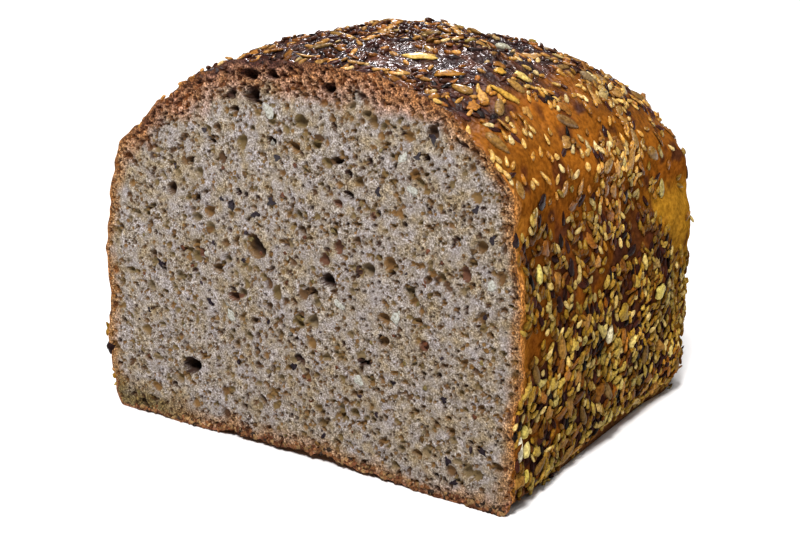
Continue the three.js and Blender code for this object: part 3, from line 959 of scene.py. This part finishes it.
def crust_material():
    shader = Shader("crust")
    glaze = shader.attribute("glaze")
    torn = shader.attribute("torn")
    fine = shader.noise(1.3)
    colour = shader.multiply(shader.attribute("tint", "Color"), shader.ramp(fine, CRUST_STOPS))
    colour = shader.multiply(colour, shader.ramp(shader.noise(0.8, rough=0.6), TORN_STOPS), torn)
    pebble = shader.math("MULTIPLY", shader.lumps(1.3), shader.fade(glaze, 0, 1, 0.15, 0.9))
    height = shader.math("ADD", shader.lumps(2.6), shader.math("MULTIPLY", fine, 0.3))
    height = shader.math("ADD", height, pebble)
    strength = shader.math("ADD", shader.fade(glaze, 0, 1, 0.35, 0.8), shader.math("MULTIPLY", torn, 0.5))
    normal = shader.bump(height, depth=0.9, strength=strength)
    rough = shader.math("ADD", shader.fade(fine, 0.3, 0.7, 0.26, 0.42), shader.fade(glaze, 0, 1, 0.05, -0.1))
    shine = shader.fade(glaze, 0, 1, 0.0, 0.38)
    return shader.finish(Base_Color=colour, Roughness=rough, Specular_IOR_Level=shine, Normal=normal)


# Places of the seeds

TAKEN_CELL = 4.0
DRAWS_AT_ONCE = 4000
SEED_START = 0.3  # distance behind the cut where the seeds start
SEED_END = 0.9  # share of the crusted end's flat that has seeds
HIGHEST_DENSITY = 1.6


def taken_cell(place):
    return tuple(np.floor(place / TAKEN_CELL).astype(int))


def claim(taken, place, spacing):
    """Marks a place on the crust as taken by a seed."""
    taken.setdefault(taken_cell(place), []).append((place, spacing))


def is_free(taken, place, spacing):
    cell = taken_cell(place)
    for step in np.ndindex(3, 3, 3):
        for other, width in taken.get(tuple(k + s - 1 for k, s in zip(cell, step)), ()):
            gap = other - place
            if np.dot(gap, gap) <= (0.5 * (width + spacing)) ** 2:
                return False
    return True


def scatter(rng, count, density, spacing, taken):
    """Places on the crust drawn by area and density, each clear of those already taken."""
    chosen = []
    while len(chosen) < count:
        around = rng.uniform(0, 1, DRAWS_AT_ONCE)
        behind = rng.uniform(SEED_START, LENGTH + SEED_END * END_FLAT, DRAWS_AT_ONCE)
        here = loaf_surface(around, behind)
        across = loaf_surface(around + NEARBY, behind) - here
        lengthwise = loaf_surface(around, behind + LENGTH * NEARBY) - here
        patch = np.linalg.norm(np.cross(across, lengthwise), axis=-1)
        area = patch / (NEARBY * NEARBY * LENGTH * OUTLINE_RUN[-1])
        place, outward = crust_surface(around, behind)
        keep = rng.uniform(0, HIGHEST_DENSITY, DRAWS_AT_ONCE) < area * density(place, outward)
        for i in np.flatnonzero(keep):
            if len(chosen) < count and is_free(taken, place[i], spacing):
                claim(taken, place[i], spacing)
                chosen.append((place[i], outward[i]))
    return tuple(np.array(part) for part in zip(*chosen))


CLUMPS = ((7.0, 1.0, 51), (15.0, 0.8, 52))
CLUMP_RANGE = (-0.1, 0.5)
SEEDS_NEAR_CUT = (2, 14)
SEEDS_LOW = (26, 58)
SEEDS_SHOULDER = (80, 96)
SEEDS_CROWN = (0.8, 0.95)
CROWN_RIGHT = (0, 30)
BARE_FOOT = 0.8  # height of the foot without seeds, which is higher in places
BARE_FOOT_NOISE = ((9.0, 2.0, 53),)
BARE_FOOT_MIDDLE = -8
BARE_FOOT_REACH = 18
BARE_FOOT_RISE = 5
BARE_CORNER_RISE = 7
BARE_CORNER_REACH = (5, 9)
BARE_FOOT_FADE = 2
SEEDS_UNDER = (-0.6, -0.2)


def seed_density(place, outward):
    """Share of the crust under seeds: most on the lower side, fewest on the crown, none under the loaf."""
    x, y, z = np.moveaxis(place, -1, 0)
    low = fall(z + 14 * fall(y - FRONT, *SEEDS_NEAR_CUT), *SEEDS_LOW)
    share = 0.25 + 0.75 * low + 0.32 * smoothstep(z, *SEEDS_SHOULDER)
    share = share * (1 - 0.94 * bare_end(place)) * (1 - 0.6 * cut_strip(place))
    crown = smoothstep(outward[..., 2], *SEEDS_CROWN)
    share = share * (1 - 0.65 * crown * fall(x, *CROWN_RIGHT))
    clump = noise_sum(place, CLUMPS) + 0.5 * low + 0.35 * crown
    share = share * (0.06 + 1.8 * smoothstep(clump, *CLUMP_RANGE))
    rise = BARE_FOOT_RISE * np.exp(-((y - BARE_FOOT_MIDDLE) / BARE_FOOT_REACH) ** 2)
    bare_foot = BARE_FOOT + rise + noise_sum(place, BARE_FOOT_NOISE)
    bare_foot = bare_foot + BARE_CORNER_RISE * fall(y - FRONT, *BARE_CORNER_REACH)
    return share * smoothstep(z - bare_foot, 0, BARE_FOOT_FADE) * smoothstep(outward[..., 2], *SEEDS_UNDER)


PALE_END = (35, 70)
LARGE_RISE = (55, 95)
SHOULDER_RISE = (50, 75)
SHOULDER_UP = (0.6, 0.85)
SLOPE_LEFT = (15, 35)
SLOPE_REACH = (6, 20)


def low_density(place, outward):
    """Denser towards the foot of the sides, for the palest seeds."""
    return seed_density(place, outward) * (0.15 + 0.85 * fall(place[..., 2], *PALE_END))


def top_density(place, outward):
    """Denser on the crown and the shoulders, for the largest pieces."""
    return seed_density(place, outward) * (0.2 + 0.8 * smoothstep(place[..., 2], *LARGE_RISE))


def dark_density(place, outward):
    """Fewer on the amber shoulders and the left slope, for the dark seeds."""
    shoulder = smoothstep(place[..., 2], *SHOULDER_RISE) * fall(outward[..., 2], *SHOULDER_UP)
    left_slope = smoothstep(-place[..., 0], *SLOPE_LEFT) * fall(place[..., 1] - FRONT, *SLOPE_REACH)
    return seed_density(place, outward) * (1 - 0.7 * shoulder) * (1 - 0.9 * left_slope)


# Turns and colours of the seeds

UPRIGHT = np.array([0.0, 0.3, 1.0])
WALL_SPREAD = 0.55
CROWN_SPREAD = 1.6
SPREAD_UP = (0.6, 0.9)


def turned(rng, outward, tilt, spread):
    """For each outward direction a frame with a small random tilt, turned from upright by a random angle."""
    count = len(outward)
    normal = outward + rng.normal(0, tilt, (count, 3))
    normal /= np.linalg.norm(normal, axis=1, keepdims=True)
    upright = UPRIGHT - normal * (normal @ UPRIGHT)[:, None]
    upright /= np.linalg.norm(upright, axis=1, keepdims=True)
    turn = (spread * rng.normal(0, 1, count))[:, None]
    along = upright * np.cos(turn) + np.cross(normal, upright) * np.sin(turn)
    return np.stack([along, np.cross(normal, along), normal], axis=1)


def seed_spread(outward):
    """Spread of the seeds' turns: most stand upright on the walls, and they lie every way on the crown."""
    return WALL_SPREAD + CROWN_SPREAD * smoothstep(outward[:, 2], *SPREAD_UP)


def aimed(outward, turns):
    """For each outward direction a frame turned from the loaf's length by an angle in degrees."""
    lengthwise = np.array([0.0, 1.0, 0.0]) - outward * outward[:, 1:2]
    lengthwise /= np.linalg.norm(lengthwise, axis=1, keepdims=True)
    turn = np.radians(turns)[:, None]
    along = lengthwise * np.cos(turn) + np.cross(outward, lengthwise) * np.sin(turn)
    return np.stack([along, np.cross(outward, along), outward], axis=1)


# Palettes of (weight, colour)
KERNEL_COLOURS = (
    (3, (0.21, 0.12, 0.036)), (2, (0.25, 0.135, 0.032)), (1, (0.17, 0.105, 0.042)), (1, (0.13, 0.055, 0.02)),
)
FLAKE_COLOURS = ((3, (0.37, 0.19, 0.045)), (2, (0.27, 0.11, 0.02)), (1, (0.50, 0.35, 0.13)))
LINSEED_COLOURS = ((3, (0.028, 0.010, 0.009)), (2, (0.048, 0.015, 0.011)), (1, (0.013, 0.009, 0.009)))
CROWN_COLOURS = (
    (3, (0.22, 0.078, 0.014)), (3, (0.39, 0.19, 0.046)), (5, (0.06, 0.019, 0.008)), (1, (0.5, 0.34, 0.14)),
)
SHOULDER_COLOURS = (
    (3, (0.42, 0.21, 0.036)), (3, (0.52, 0.32, 0.085)), (2, (0.27, 0.11, 0.014)), (1, (0.58, 0.44, 0.19)),
)
SIDE_COLOURS = (
    (3, (0.24, 0.12, 0.014)), (3, (0.32, 0.205, 0.04)), (3, (0.14, 0.05, 0.006)), (1, (0.44, 0.35, 0.13)),
)
LOW_COLOURS = (
    (4, (0.26, 0.162, 0.02)), (3, (0.39, 0.285, 0.064)), (3, (0.14, 0.065, 0.009)), (2, (0.54, 0.445, 0.19)),
)
BIT_COLOURS = ((4, (0.38, 0.27, 0.06)), (2, (0.48, 0.39, 0.14)), (3, (0.28, 0.165, 0.025)))
GRAIN_COLOURS = (
    (3, (0.085, 0.032, 0.016)), (2, (0.12, 0.065, 0.022)), (2, (0.026, 0.018, 0.022)),
    (2, (0.15, 0.115, 0.045)), (1, (0.25, 0.24, 0.21)),
)
FOOT_COLOURS = (
    (3, (0.18, 0.08, 0.035)), (2, (0.24, 0.145, 0.065)), (2, (0.09, 0.034, 0.017)), (1, (0.03, 0.02, 0.015)),
)
SEED_BRIGHTNESS = (0.7, 1.25)
SEED_PATCHES = ((11.0, 0.45, 61),)
WALL_PAINTED_SHADE = np.array([0.91, 0.80, 0.64])  # painted shade: seeds on the walls are this much darker, and browner
WALL_END = (74, 98)
HALF_WAY_PAINTED_SHADE = 0.14
HALF_WAY_RISE = (32, 50)
HALF_WAY_END = (72, 90)
LOW_KHAKI = np.array([0.98, 1.07, 1.15])  # the larger seeds low on the walls are tinted this much
KHAKI_END = (40, 70)
SHOULDER_START = (76, 96)
CROWN_START = (0.72, 0.95)


def seed_tints(rng, palette, places):
    """One colour a seed, drawn from a palette, varied in brightness seed by seed and patch by patch."""
    weights = np.array([weight for weight, _ in palette], float)
    colours = np.array([colour for _, colour in palette])
    count = len(places)
    picked = colours[rng.choice(len(palette), count, p=weights / weights.sum())]
    patch = 1 + noise_sum(places, SEED_PATCHES)[:, None]
    return picked * rng.uniform(*SEED_BRIGHTNESS, (count, 1)) * patch


def with_painted_wall_shade(tints, places):
    """Seed colours with painted shade on the walls, deepest half way up."""
    # painted shade deepens the seeds on the walls, most of all half way up
    z = places[:, 2]
    half_way = smoothstep(z, *HALF_WAY_RISE) * fall(z, *HALF_WAY_END)
    return tints * mixed(1, WALL_PAINTED_SHADE, fall(z, *WALL_END)) * (1 - HALF_WAY_PAINTED_SHADE * half_way[:, None])


def large_tints(rng, palette, spots):
    """Colours of the larger seeds, which are greener and paler low on the walls, with painted shade on the
    walls.
    """
    places, _ = spots
    tints = with_painted_wall_shade(seed_tints(rng, palette, places), places)
    return tints * mixed(1, LOW_KHAKI, fall(places[:, 2], *KHAKI_END))


def sesame_tints(rng, palette, spots):
    """Colours of the small seeds, which change from the sides over the shoulders to the crown, with painted
    shade on the walls.
    """
    places, outward = spots
    tints = seed_tints(rng, palette, places)
    for share, colours in (
        (smoothstep(places[:, 2], *SHOULDER_START), SHOULDER_COLOURS),
        (smoothstep(outward[:, 2], *CROWN_START), CROWN_COLOURS),
    ):
        changed = rng.uniform(0, 1, len(share)) < share
        tints = np.where(changed[:, None], seed_tints(rng, colours, places), tints)
    return with_painted_wall_shade(tints, places)


# Seeds

class Form(NamedTuple):
    """Shape of a kind of seed: rings and sides of its mesh, narrowing, share sunk, bend and raggedness."""

    rings: int
    sides: int
    tip: float
    sunk: float
    bend: float = 0.0
    ragged: float = 0.0


def drop_shape(form):
    """Unit seed along x, narrowing to a tip at its far end: places and faces."""
    rings = form.rings
    sides = form.sides
    t = (np.arange(rings) + 1) / (rings + 1)
    half = np.sqrt(np.sin(math.pi * t)) * (1 - form.tip * t)
    turn = 2 * math.pi * np.arange(sides) / sides
    body = np.stack([
        np.repeat((t - 0.5)[:, None], sides, axis=1),
        0.5 * half[:, None] * np.cos(turn)[None],
        0.5 * half[:, None] * np.sin(turn)[None],
    ], axis=-1).reshape(-1, 3)
    verts = np.vstack([body, [[-0.5, 0, 0], [0.5, 0, 0]]])
    first = rings * sides
    faces = []
    for i in range(sides):
        j = (i + 1) % sides
        faces.append((first, j, i))
        for r in range(rings - 1):
            faces.append((r * sides + i, r * sides + j, (r + 1) * sides + j))
            faces.append((r * sides + i, (r + 1) * sides + j, (r + 1) * sides + i))
        faces.append((first + 1, (rings - 1) * sides + i, (rings - 1) * sides + j))
    return verts, np.array(faces)


CUT_PROUD = 0.6  # seeds at the cut stand this far in front of it at most
GLAZE_SINK = 0.2  # seeds high on the loaf sink this much deeper into the glaze at most
GLAZE_HEIGHT = (50, 90)
SIZE_SPREAD = 0.12
SIZE_LIMITS = (0.7, 1.35)
FLOOR_GAP = 0.05


def add_seeds(name, rng, form, sizes, spots, frames, tints, material):
    """One piece of many seeds of one kind, each with its own size, turn, bend and colour."""
    verts, faces = drop_shape(form)
    places, outward = spots
    count = len(places)
    sizes = np.broadcast_to(np.array(sizes, float), (count, 3))
    scale = sizes * (1 + rng.normal(0, SIZE_SPREAD, (count, 3))).clip(*SIZE_LIMITS)
    turn = np.arctan2(verts[:, 1], verts[:, 0])[None]
    phase = rng.uniform(0, 2 * math.pi, (2, count, 1))
    uneven = 1 + form.ragged * (np.sin(3 * turn + phase[0]) + np.sin(5 * turn + phase[1])) / 2
    body = verts[None] * scale[:, None]
    body[..., :2] *= uneven[..., None]
    bow = form.bend * rng.uniform(-1, 1, (count, 1))
    body[..., 2] += bow * body[..., 0] ** 2 / sizes[:, :1]
    buried = form.sunk + GLAZE_SINK * rng.uniform(0, 1, (count, 1)) * smoothstep(places[:, 2:], *GLAZE_HEIGHT)
    lift = sizes[:, 2:] * (0.5 - buried)
    world = np.einsum("nvk,nkj->nvj", body, frames) + (places + outward * lift)[:, None]
    world[..., 1] = np.maximum(world[..., 1], FRONT - CUT_PROUD)
    world[..., 2] = np.maximum(world[..., 2], FLOOR_GAP)
    index = faces[None] + (np.arange(count) * len(verts))[:, None, None]
    colours = np.repeat(tints, len(verts), axis=0)
    add_piece(name, world.reshape(-1, 3), index.reshape(-1, 3).tolist(), material, colours=colours)


SEED_STOPS = ((0.32, (0.5, 0.44, 0.38)), (0.64, (1.2, 1.2, 1.2)))
SHINE_START = 55 * MM
SHINE_FULL = 95 * MM


def seed_material(name, rough, shine, grain, bump):
    """Seeds are smoother and shine more high on the loaf, where the glaze covers them."""
    shader = Shader(name)
    shade = shader.ramp(shader.noise(grain), SEED_STOPS)
    colour = shader.multiply(shader.attribute("tint", "Color"), shade)
    normal = shader.bump(shader.noise(0.6 * grain), bump, strength=0.6)
    height = shader.node("ShaderNodeSeparateXYZ", {"Vector": shader.place}).outputs["Z"]
    rough = shader.fade(height, SHINE_START, SHINE_FULL, rough, 0.6 * rough)
    shine = shader.fade(height, SHINE_START, SHINE_FULL, 0.08 * shine, shine)
    return shader.finish(Base_Color=colour, Roughness=rough, Specular_IOR_Level=shine, Normal=normal)


DARK_SEED = (0.016, 0.008, 0.008)
LARGE_FLAKES = (  # place; length, width and thickness; turn from the loaf's length in degrees; colour
    ((31, -52, 121), (9.0, 4.6, 1.5), -56, (0.56, 0.36, 0.085)),
    ((44, -58, 118), (10.5, 5.5, 1.1), -40, (0.30, 0.13, 0.016)),
    ((51, -42, 118), (5.0, 4.0, 1.3), 0, (0.48, 0.26, 0.035)),
    ((58, -50, 112), (10.0, 3.0, 1.4), -56, (0.50, 0.29, 0.045)),
    ((54, -34, 115), (7.5, 3.5, 1.4), -56, (0.62, 0.47, 0.14)),
    ((78, -10, 43), (6.5, 5.5, 1.6), 60, (0.26, 0.16, 0.02)),
    ((79, 14, 44), (6.0, 5.0, 2.0), 30, (0.48, 0.39, 0.10)),
)
LARGE_KERNELS = (
    ((65, -67, 102), (9.5, 4.3, 2.8), -70, (0.22, 0.115, 0.028)),
    ((67, -30, 103), (10.5, 4.6, 3.0), -35, (0.19, 0.1, 0.03)),
    ((58, 2, 113), (8.0, 4.5, 3.0), -50, (0.20, 0.135, 0.065)),
    ((75, 13, 88), (8.5, 4.5, 2.8), -40, (0.18, 0.095, 0.022)),
    ((36, -11, 123), (7.0, 4.5, 2.8), -50, (0.36, 0.35, 0.27)),
    ((77, -18, 38), (6.0, 4.5, 2.4), 80, (0.60, 0.54, 0.34)),
    ((75, -60, 66), (6.5, 4.0, 2.2), 80, (0.50, 0.42, 0.11)),
    ((76, 20, 76), (7.5, 3.2, 2.0), 75, (0.30, 0.24, 0.075)),
    ((74.9, -70, 19), (6.0, 3.6, 2.6), 80, (0.66, 0.62, 0.46)),
    ((75.5, -66, 17.5), (5.5, 3.4, 2.6), 60, (0.56, 0.47, 0.17)),
    ((74.9, -66.5, 23), (5.0, 3.2, 2.4), 105, (0.54, 0.44, 0.11)),
    ((75.6, -66, 10), (5.0, 3.2, 2.2), 75, (0.46, 0.36, 0.07)),
)
LARGE_DARK_SEEDS = (
    ((19, -42, 124), (5.5, 3.6, 2.0), -56, DARK_SEED),
    ((38, -46, 121), (4.8, 2.6, 1.6), -56, DARK_SEED),
    ((39, -36, 122), (5.2, 2.4, 1.6), -40, DARK_SEED),
    ((13, -21, 126), (5.0, 3.0, 1.8), -56, DARK_SEED),
    ((74, -73, 78), (4.0, 3.0, 1.6), 90, DARK_SEED),
    ((74, -57, 85), (5.0, 3.6, 1.5), 45, DARK_SEED),
    ((76, -43, 64), (5.5, 3.0, 1.4), 85, DARK_SEED),
    ((77, -51, 56), (5.0, 3.4, 1.4), 80, DARK_SEED),
    ((77, -3, 61), (7.0, 3.4, 1.5), 15, DARK_SEED),
    ((75, -6, 78), (4.5, 3.0, 1.5), 70, DARK_SEED),
    ((-76, -73, 20), (5.0, 4.4, 4.2), 90, DARK_SEED),
)
LARGE_CLEAR = 0.8  # other seeds keep this much more than a large seed's width away
LARGE_POINTS = (-0.3, 0.0, 0.3)  # shares of its length from its middle where a large seed claims its place
SEARCH_COLUMNS = 900
SEARCH_ROWS = 300


def crust_nearest(wanted):
    """The places on the crust nearest to those wanted, and their outward directions."""
    around = np.linspace(0, 1, SEARCH_COLUMNS, endpoint=False)
    behind = np.linspace(0, LENGTH, SEARCH_ROWS)
    places, outward = crust_surface(around[None], behind[:, None])
    places = places.reshape(-1, 3)
    nearest = [np.linalg.norm(places - place, axis=1).argmin() for place in wanted]
    return places[nearest], outward.reshape(-1, 3)[nearest]


def add_large(name, rng, form, listed, taken, material):
    """One piece of the seeds that stand out, each at its own place."""
    wanted, sizes, turns, tints = (np.array(column, float) for column in zip(*listed))
    spots = crust_nearest(wanted)
    frames = aimed(spots[1], turns)
    for place, axes, size in zip(spots[0], frames, sizes):
        for share in LARGE_POINTS:
            claim(taken, place + axes[0] * share * size[0], size[1] + LARGE_CLEAR)
    add_seeds(name, rng, form, sizes, spots, frames, tints, material)


class SeedKind(NamedTuple):
    """Seeds that are scattered: how many and where, how far apart, their form, sizes, tilt and colours."""

    name: str
    count: int
    density: object
    spacing: float
    form: Form
    sizes: tuple
    tilt: float
    palette: tuple
    tints: object = large_tints


SEEDS_DRAW = 17
SESAME = Form(5, 7, 0.45, 0.12, ragged=0.12)
SESAME_SIZES = (3.4, 1.95, 1.4)
LINSEEDS = "linseeds"
KERNEL = Form(7, 10, 0.45, 0.35)
FLAKE = Form(6, 10, 0.2, 0.15, 0.25, 0.35)
BIT = Form(5, 9, 0.2, 0.2, 0.1, 0.5)
LINSEED = Form(5, 8, 0.4, 0.35, ragged=0.15)
SEED_KINDS = (
    SeedKind("sunflower_kernels", 58, top_density, 6.0, KERNEL, (8.2, 4.2, 2.4), 0.12, KERNEL_COLOURS),
    SeedKind("oat_flakes", 268, top_density, 4.2, FLAKE, (5.8, 4.0, 1.1), 0.22, FLAKE_COLOURS),
    SeedKind("kernel_bits", 236, low_density, 3.2, BIT, (4.4, 3.2, 1.8), 0.25, BIT_COLOURS),
    SeedKind(LINSEEDS, 1080, dark_density, 2.5, LINSEED, (4.5, 2.3, 1.2), 0.2, LINSEED_COLOURS),
    SeedKind(
        "golden_sesame", 1840, seed_density, 1.5, SESAME, SESAME_SIZES, 0.25, SIDE_COLOURS, sesame_tints),
    SeedKind("pale_sesame", 2370, low_density, 1.5, SESAME, SESAME_SIZES, 0.25, LOW_COLOURS, sesame_tints),
)


def build_seeds():
    rng = np.random.default_rng(SEEDS_DRAW)
    taken = {}
    satin = seed_material("seed_satin", rough=0.36, shine=0.28, grain=0.8, bump=0.12)
    dark = seed_material("seed_dark", rough=0.3, shine=0.13, grain=1.2, bump=0.08)
    add_large("large_flakes", rng, Form(8, 12, 0.15, 0.1, 0.25, 0.3), LARGE_FLAKES, taken, satin)
    add_large("large_kernels", rng, Form(9, 14, 0.45, 0.25, ragged=0.05), LARGE_KERNELS, taken, satin)
    add_large("large_dark_seeds", rng, Form(8, 12, 0.3, 0.3, ragged=0.25), LARGE_DARK_SEEDS, taken, dark)
    for kind in SEED_KINDS:
        spots = scatter(rng, kind.count, kind.density, kind.spacing, taken)
        tints = kind.tints(rng, kind.palette, spots)
        frames = turned(rng, spots[1], kind.tilt, seed_spread(spots[1]))
        material = dark if kind.name == LINSEEDS else satin
        add_seeds(kind.name, rng, kind.form, kind.sizes, spots, frames, tints, material)


# Grains that the knife cut through, and browned crumbs along the foot of the cut

GRAINS_DRAW = 29
FACING = (0.0, -1.0, 0.0)
GRAIN_COUNT = 130
GRAIN_SPAN = 70.0
GRAIN_HEIGHTS = (6.0, 106.0)
GRAIN_TOP = 104.0  # the grains stay under an arch of this height
GRAIN_ARCH = 0.006  # fall of the arch with the square of x
GRAIN_SINK = 0.25  # the grains' places lie this far behind the cut
CUT_SINK = 0.1  # the same for the larger seeds that were cut
CUT_TILT = 0.1
GRAIN = Form(4, 9, 0.2, 0.3, ragged=0.4)
GRAIN_SIZES = (2.0, 1.5, 0.5)
PALE_CHUNKS = (  # x and z of the pale kernels that were cut
    (39.5, 95.5), (43, 87.5), (37.5, 51), (24.5, 29.5), (68, 65), (-6.5, 105), (-23.5, 40.5), (17.5, 51.5),
)
PALE_CHUNK = (0.34, 0.345, 0.31)
DARK_CUTS = (  # x and z of the dark seeds that were cut
    (-4, 91.5), (-22, 75.5), (-6.5, 78.5), (-32, 43.5), (-59, 36.5), (31.5, 86), (63, 84.5), (68, 77.5),
    (0.5, 29), (55, 12), (66, 17.5), (53.5, 30), (11, 9.5), (57, 6), (-52.5, 53), (-13, 74), (49.5, 102),
    (44.5, 97), (-9, 40.5),
)
DARK_CUT = (0.017, 0.012, 0.016)
FOOT_LUMPS = 230
FOOT_SPAN = (-68.0, 73.0)
FOOT_SINK = 0.3
FOOT_LEAST = 0.4  # height of the lowest crumbs over the rim of the cut
FOOT_RISE = 2.0  # the highest crumbs lie this far above them
FOOT_FACING = (0.0, -0.9, -0.4)
FOOT_TILT = 0.4
FOOT_CRUMB = Form(4, 8, 0.1, 0.25, ragged=0.6)
FOOT_SIZES = (1.9, 1.5, 1.2)


def on_cut(x, z, sink, facing):
    """Places that lie a little behind the cut, and their outward directions."""
    places = np.column_stack([x, np.full(len(x), FRONT + sink), z])
    return places, np.tile(np.array(facing), (len(x), 1))


def build_grains():
    rng = np.random.default_rng(GRAINS_DRAW)
    material = seed_material("cut_grain", rough=0.6, shine=0.25, grain=0.7, bump=0.1)
    x = rng.uniform(-GRAIN_SPAN, GRAIN_SPAN, GRAIN_COUNT)
    z = rng.uniform(*GRAIN_HEIGHTS, GRAIN_COUNT)
    keep = z < GRAIN_TOP - GRAIN_ARCH * x * x
    spots = on_cut(x[keep], z[keep], GRAIN_SINK, FACING)
    tints = seed_tints(rng, GRAIN_COLOURS, spots[0])
    frames = turned(rng, spots[1], CUT_TILT, math.pi)
    add_seeds("cut_grains", rng, GRAIN, GRAIN_SIZES, spots, frames, tints, material)
    for name, listed, sizes, tint, ragged in (
        ("cut_kernels", PALE_CHUNKS, (4.8, 3.2, 0.6), PALE_CHUNK, 0.25),
        ("cut_dark_seeds", DARK_CUTS, (3.0, 2.3, 0.5), DARK_CUT, 0.55),
    ):
        spots = on_cut(*np.transpose(listed), CUT_SINK, FACING)
        frames = turned(rng, spots[1], CUT_TILT, math.pi)
        tints = np.tile(np.array(tint), (len(listed), 1))
        add_seeds(name, rng, Form(5, 12, 0.2, 0.35, ragged=ragged), sizes, spots, frames, tints, material)
    rim = rim_curve()
    base = rim[rim[:, 1] < FOOT_ZONE]
    base = base[np.argsort(base[:, 0])]
    x = rng.uniform(*FOOT_SPAN, FOOT_LUMPS)
    z = np.interp(x, base[:, 0], base[:, 1]) + FOOT_LEAST + FOOT_RISE * rng.uniform(0, 1, FOOT_LUMPS) ** 2
    spots = on_cut(x, z, FOOT_SINK, FOOT_FACING)
    tints = seed_tints(rng, FOOT_COLOURS, spots[0])
    frames = turned(rng, spots[1], FOOT_TILT, math.pi)
    add_seeds("foot_crumbs", rng, FOOT_CRUMB, FOOT_SIZES, spots, frames, tints, material)


# Camera

FOCAL_PIXELS = 1250.0
IMAGE_WIDTH = 800
SENSOR = 36.0
NEAREST = 0.01
AZIMUTH = 34.1
ELEVATION = 15.47
DISTANCE = 424.5
AIM_HEIGHT = 61.5
AIM_RIGHT = -9.26
AIM_UP = -18.02


def add_camera():
    az = math.radians(AZIMUTH)
    el = math.radians(ELEVATION)
    back = Vector((math.sin(az) * math.cos(el), -math.cos(az) * math.cos(el), math.sin(el)))
    right = Vector((math.cos(az), math.sin(az), 0))
    up = back.cross(right)
    eye = Vector((0, 0, AIM_HEIGHT)) + right * AIM_RIGHT + up * AIM_UP + back * DISTANCE
    data = bpy.data.cameras.new("camera")
    data.sensor_width = SENSOR
    data.lens = FOCAL_PIXELS * SENSOR / IMAGE_WIDTH
    data.clip_start = NEAREST
    camera = bpy.data.objects.new("camera", data)
    camera.location = eye * MM
    camera.rotation_euler = back.to_track_quat("Z", "Y").to_euler()
    bpy.context.scene.collection.objects.link(camera)
    bpy.context.scene.camera = camera


# Floor and light, in metres

LIGHTS = (  # name, place, size, power and colour
    ("overhead", (0.2, 0.3, 2.2), 2.2, 19.0, (1.0, 1.0, 1.0)),
    ("key", (0.42, -1.2, 1.65), 0.45, 60.0, (1.0, 0.98, 0.97)),
    ("glint", (-0.8, 1.2, 1.08), 0.25, 6.8, (1.0, 0.94, 0.96)),
)
LIGHT_AIM = (0, 0, 0.06)
WHITE = (1.0, 1.0, 1.0, 1.0)
SKY_RISE = (0.55, 0.95)
SKY_STRENGTH = (0.06, 0.6)
FLOOR_RADIUS = 4.0
FLOOR_SIDES = 64
FLOOR_LUMPS = 400.0
FLOOR_STOPS = ((0.3, (0.86, 0.86, 0.86)), (0.7, (0.90, 0.90, 0.90)))
GLOW_RANGE = (0.4, 1.6)
GLOW_STRENGTH = (0.0, 0.8)


def add_lights():
    for name, place, size, power, colour in LIGHTS:
        data = bpy.data.lights.new(name, "AREA")
        data.shape = "DISK"
        data.size = size
        data.energy = power
        data.color = colour
        light = bpy.data.objects.new(name, data)
        light.location = place
        light.rotation_euler = (Vector(place) - Vector(LIGHT_AIM)).to_track_quat("Z", "Y").to_euler()
        bpy.context.scene.collection.objects.link(light)


def add_sky():
    """A pale sky that is bright overhead and dim near the horizon."""
    world = bpy.data.worlds.new("studio")
    world.use_nodes = True
    tree = world.node_tree
    direction = tree.nodes.new("ShaderNodeTexCoord").outputs["Generated"]
    parts = tree.nodes.new("ShaderNodeSeparateXYZ")
    tree.links.new(direction, parts.inputs["Vector"])
    fade = tree.nodes.new("ShaderNodeMapRange")
    tree.links.new(parts.outputs["Z"], fade.inputs["Value"])
    fade.inputs["From Min"].default_value, fade.inputs["From Max"].default_value = SKY_RISE
    fade.inputs["To Min"].default_value, fade.inputs["To Max"].default_value = SKY_STRENGTH
    background = tree.nodes["Background"]
    background.inputs["Color"].default_value = WHITE
    tree.links.new(fade.outputs["Result"], background.inputs["Strength"])
    bpy.context.scene.world = world


def add_floor():
    """A plain pale floor that glows far away from the loaf, so that it has no horizon."""
    shader = Shader("floor")
    colour = shader.ramp(shader.noise(FLOOR_LUMPS), FLOOR_STOPS)
    away = shader.node("ShaderNodeVectorMath", {"Vector": shader.place}, operation="LENGTH").outputs["Value"]
    glow = shader.fade(away, *GLOW_RANGE, *GLOW_STRENGTH)
    material = shader.finish(Base_Color=colour, Roughness=0.7, Emission_Color=WHITE, Emission_Strength=glow)
    turns = np.linspace(0, 2 * math.pi, FLOOR_SIDES, endpoint=False)
    ring = [(FLOOR_RADIUS * math.cos(turn), FLOOR_RADIUS * math.sin(turn), 0) for turn in turns]
    mesh = bpy.data.meshes.new("floor")
    mesh.from_pydata(ring, [], [list(range(FLOOR_SIDES))])
    mesh.materials.append(material)
    floor = bpy.data.objects.new("floor", mesh)
    bpy.context.scene.collection.objects.link(floor)


add_camera()
add_floor()
add_sky()
add_lights()
bpy.context.scene.view_settings.view_transform = "Standard"
build_crumb(crumb_material())
build_crust(crust_material())
build_seeds()
build_grains()
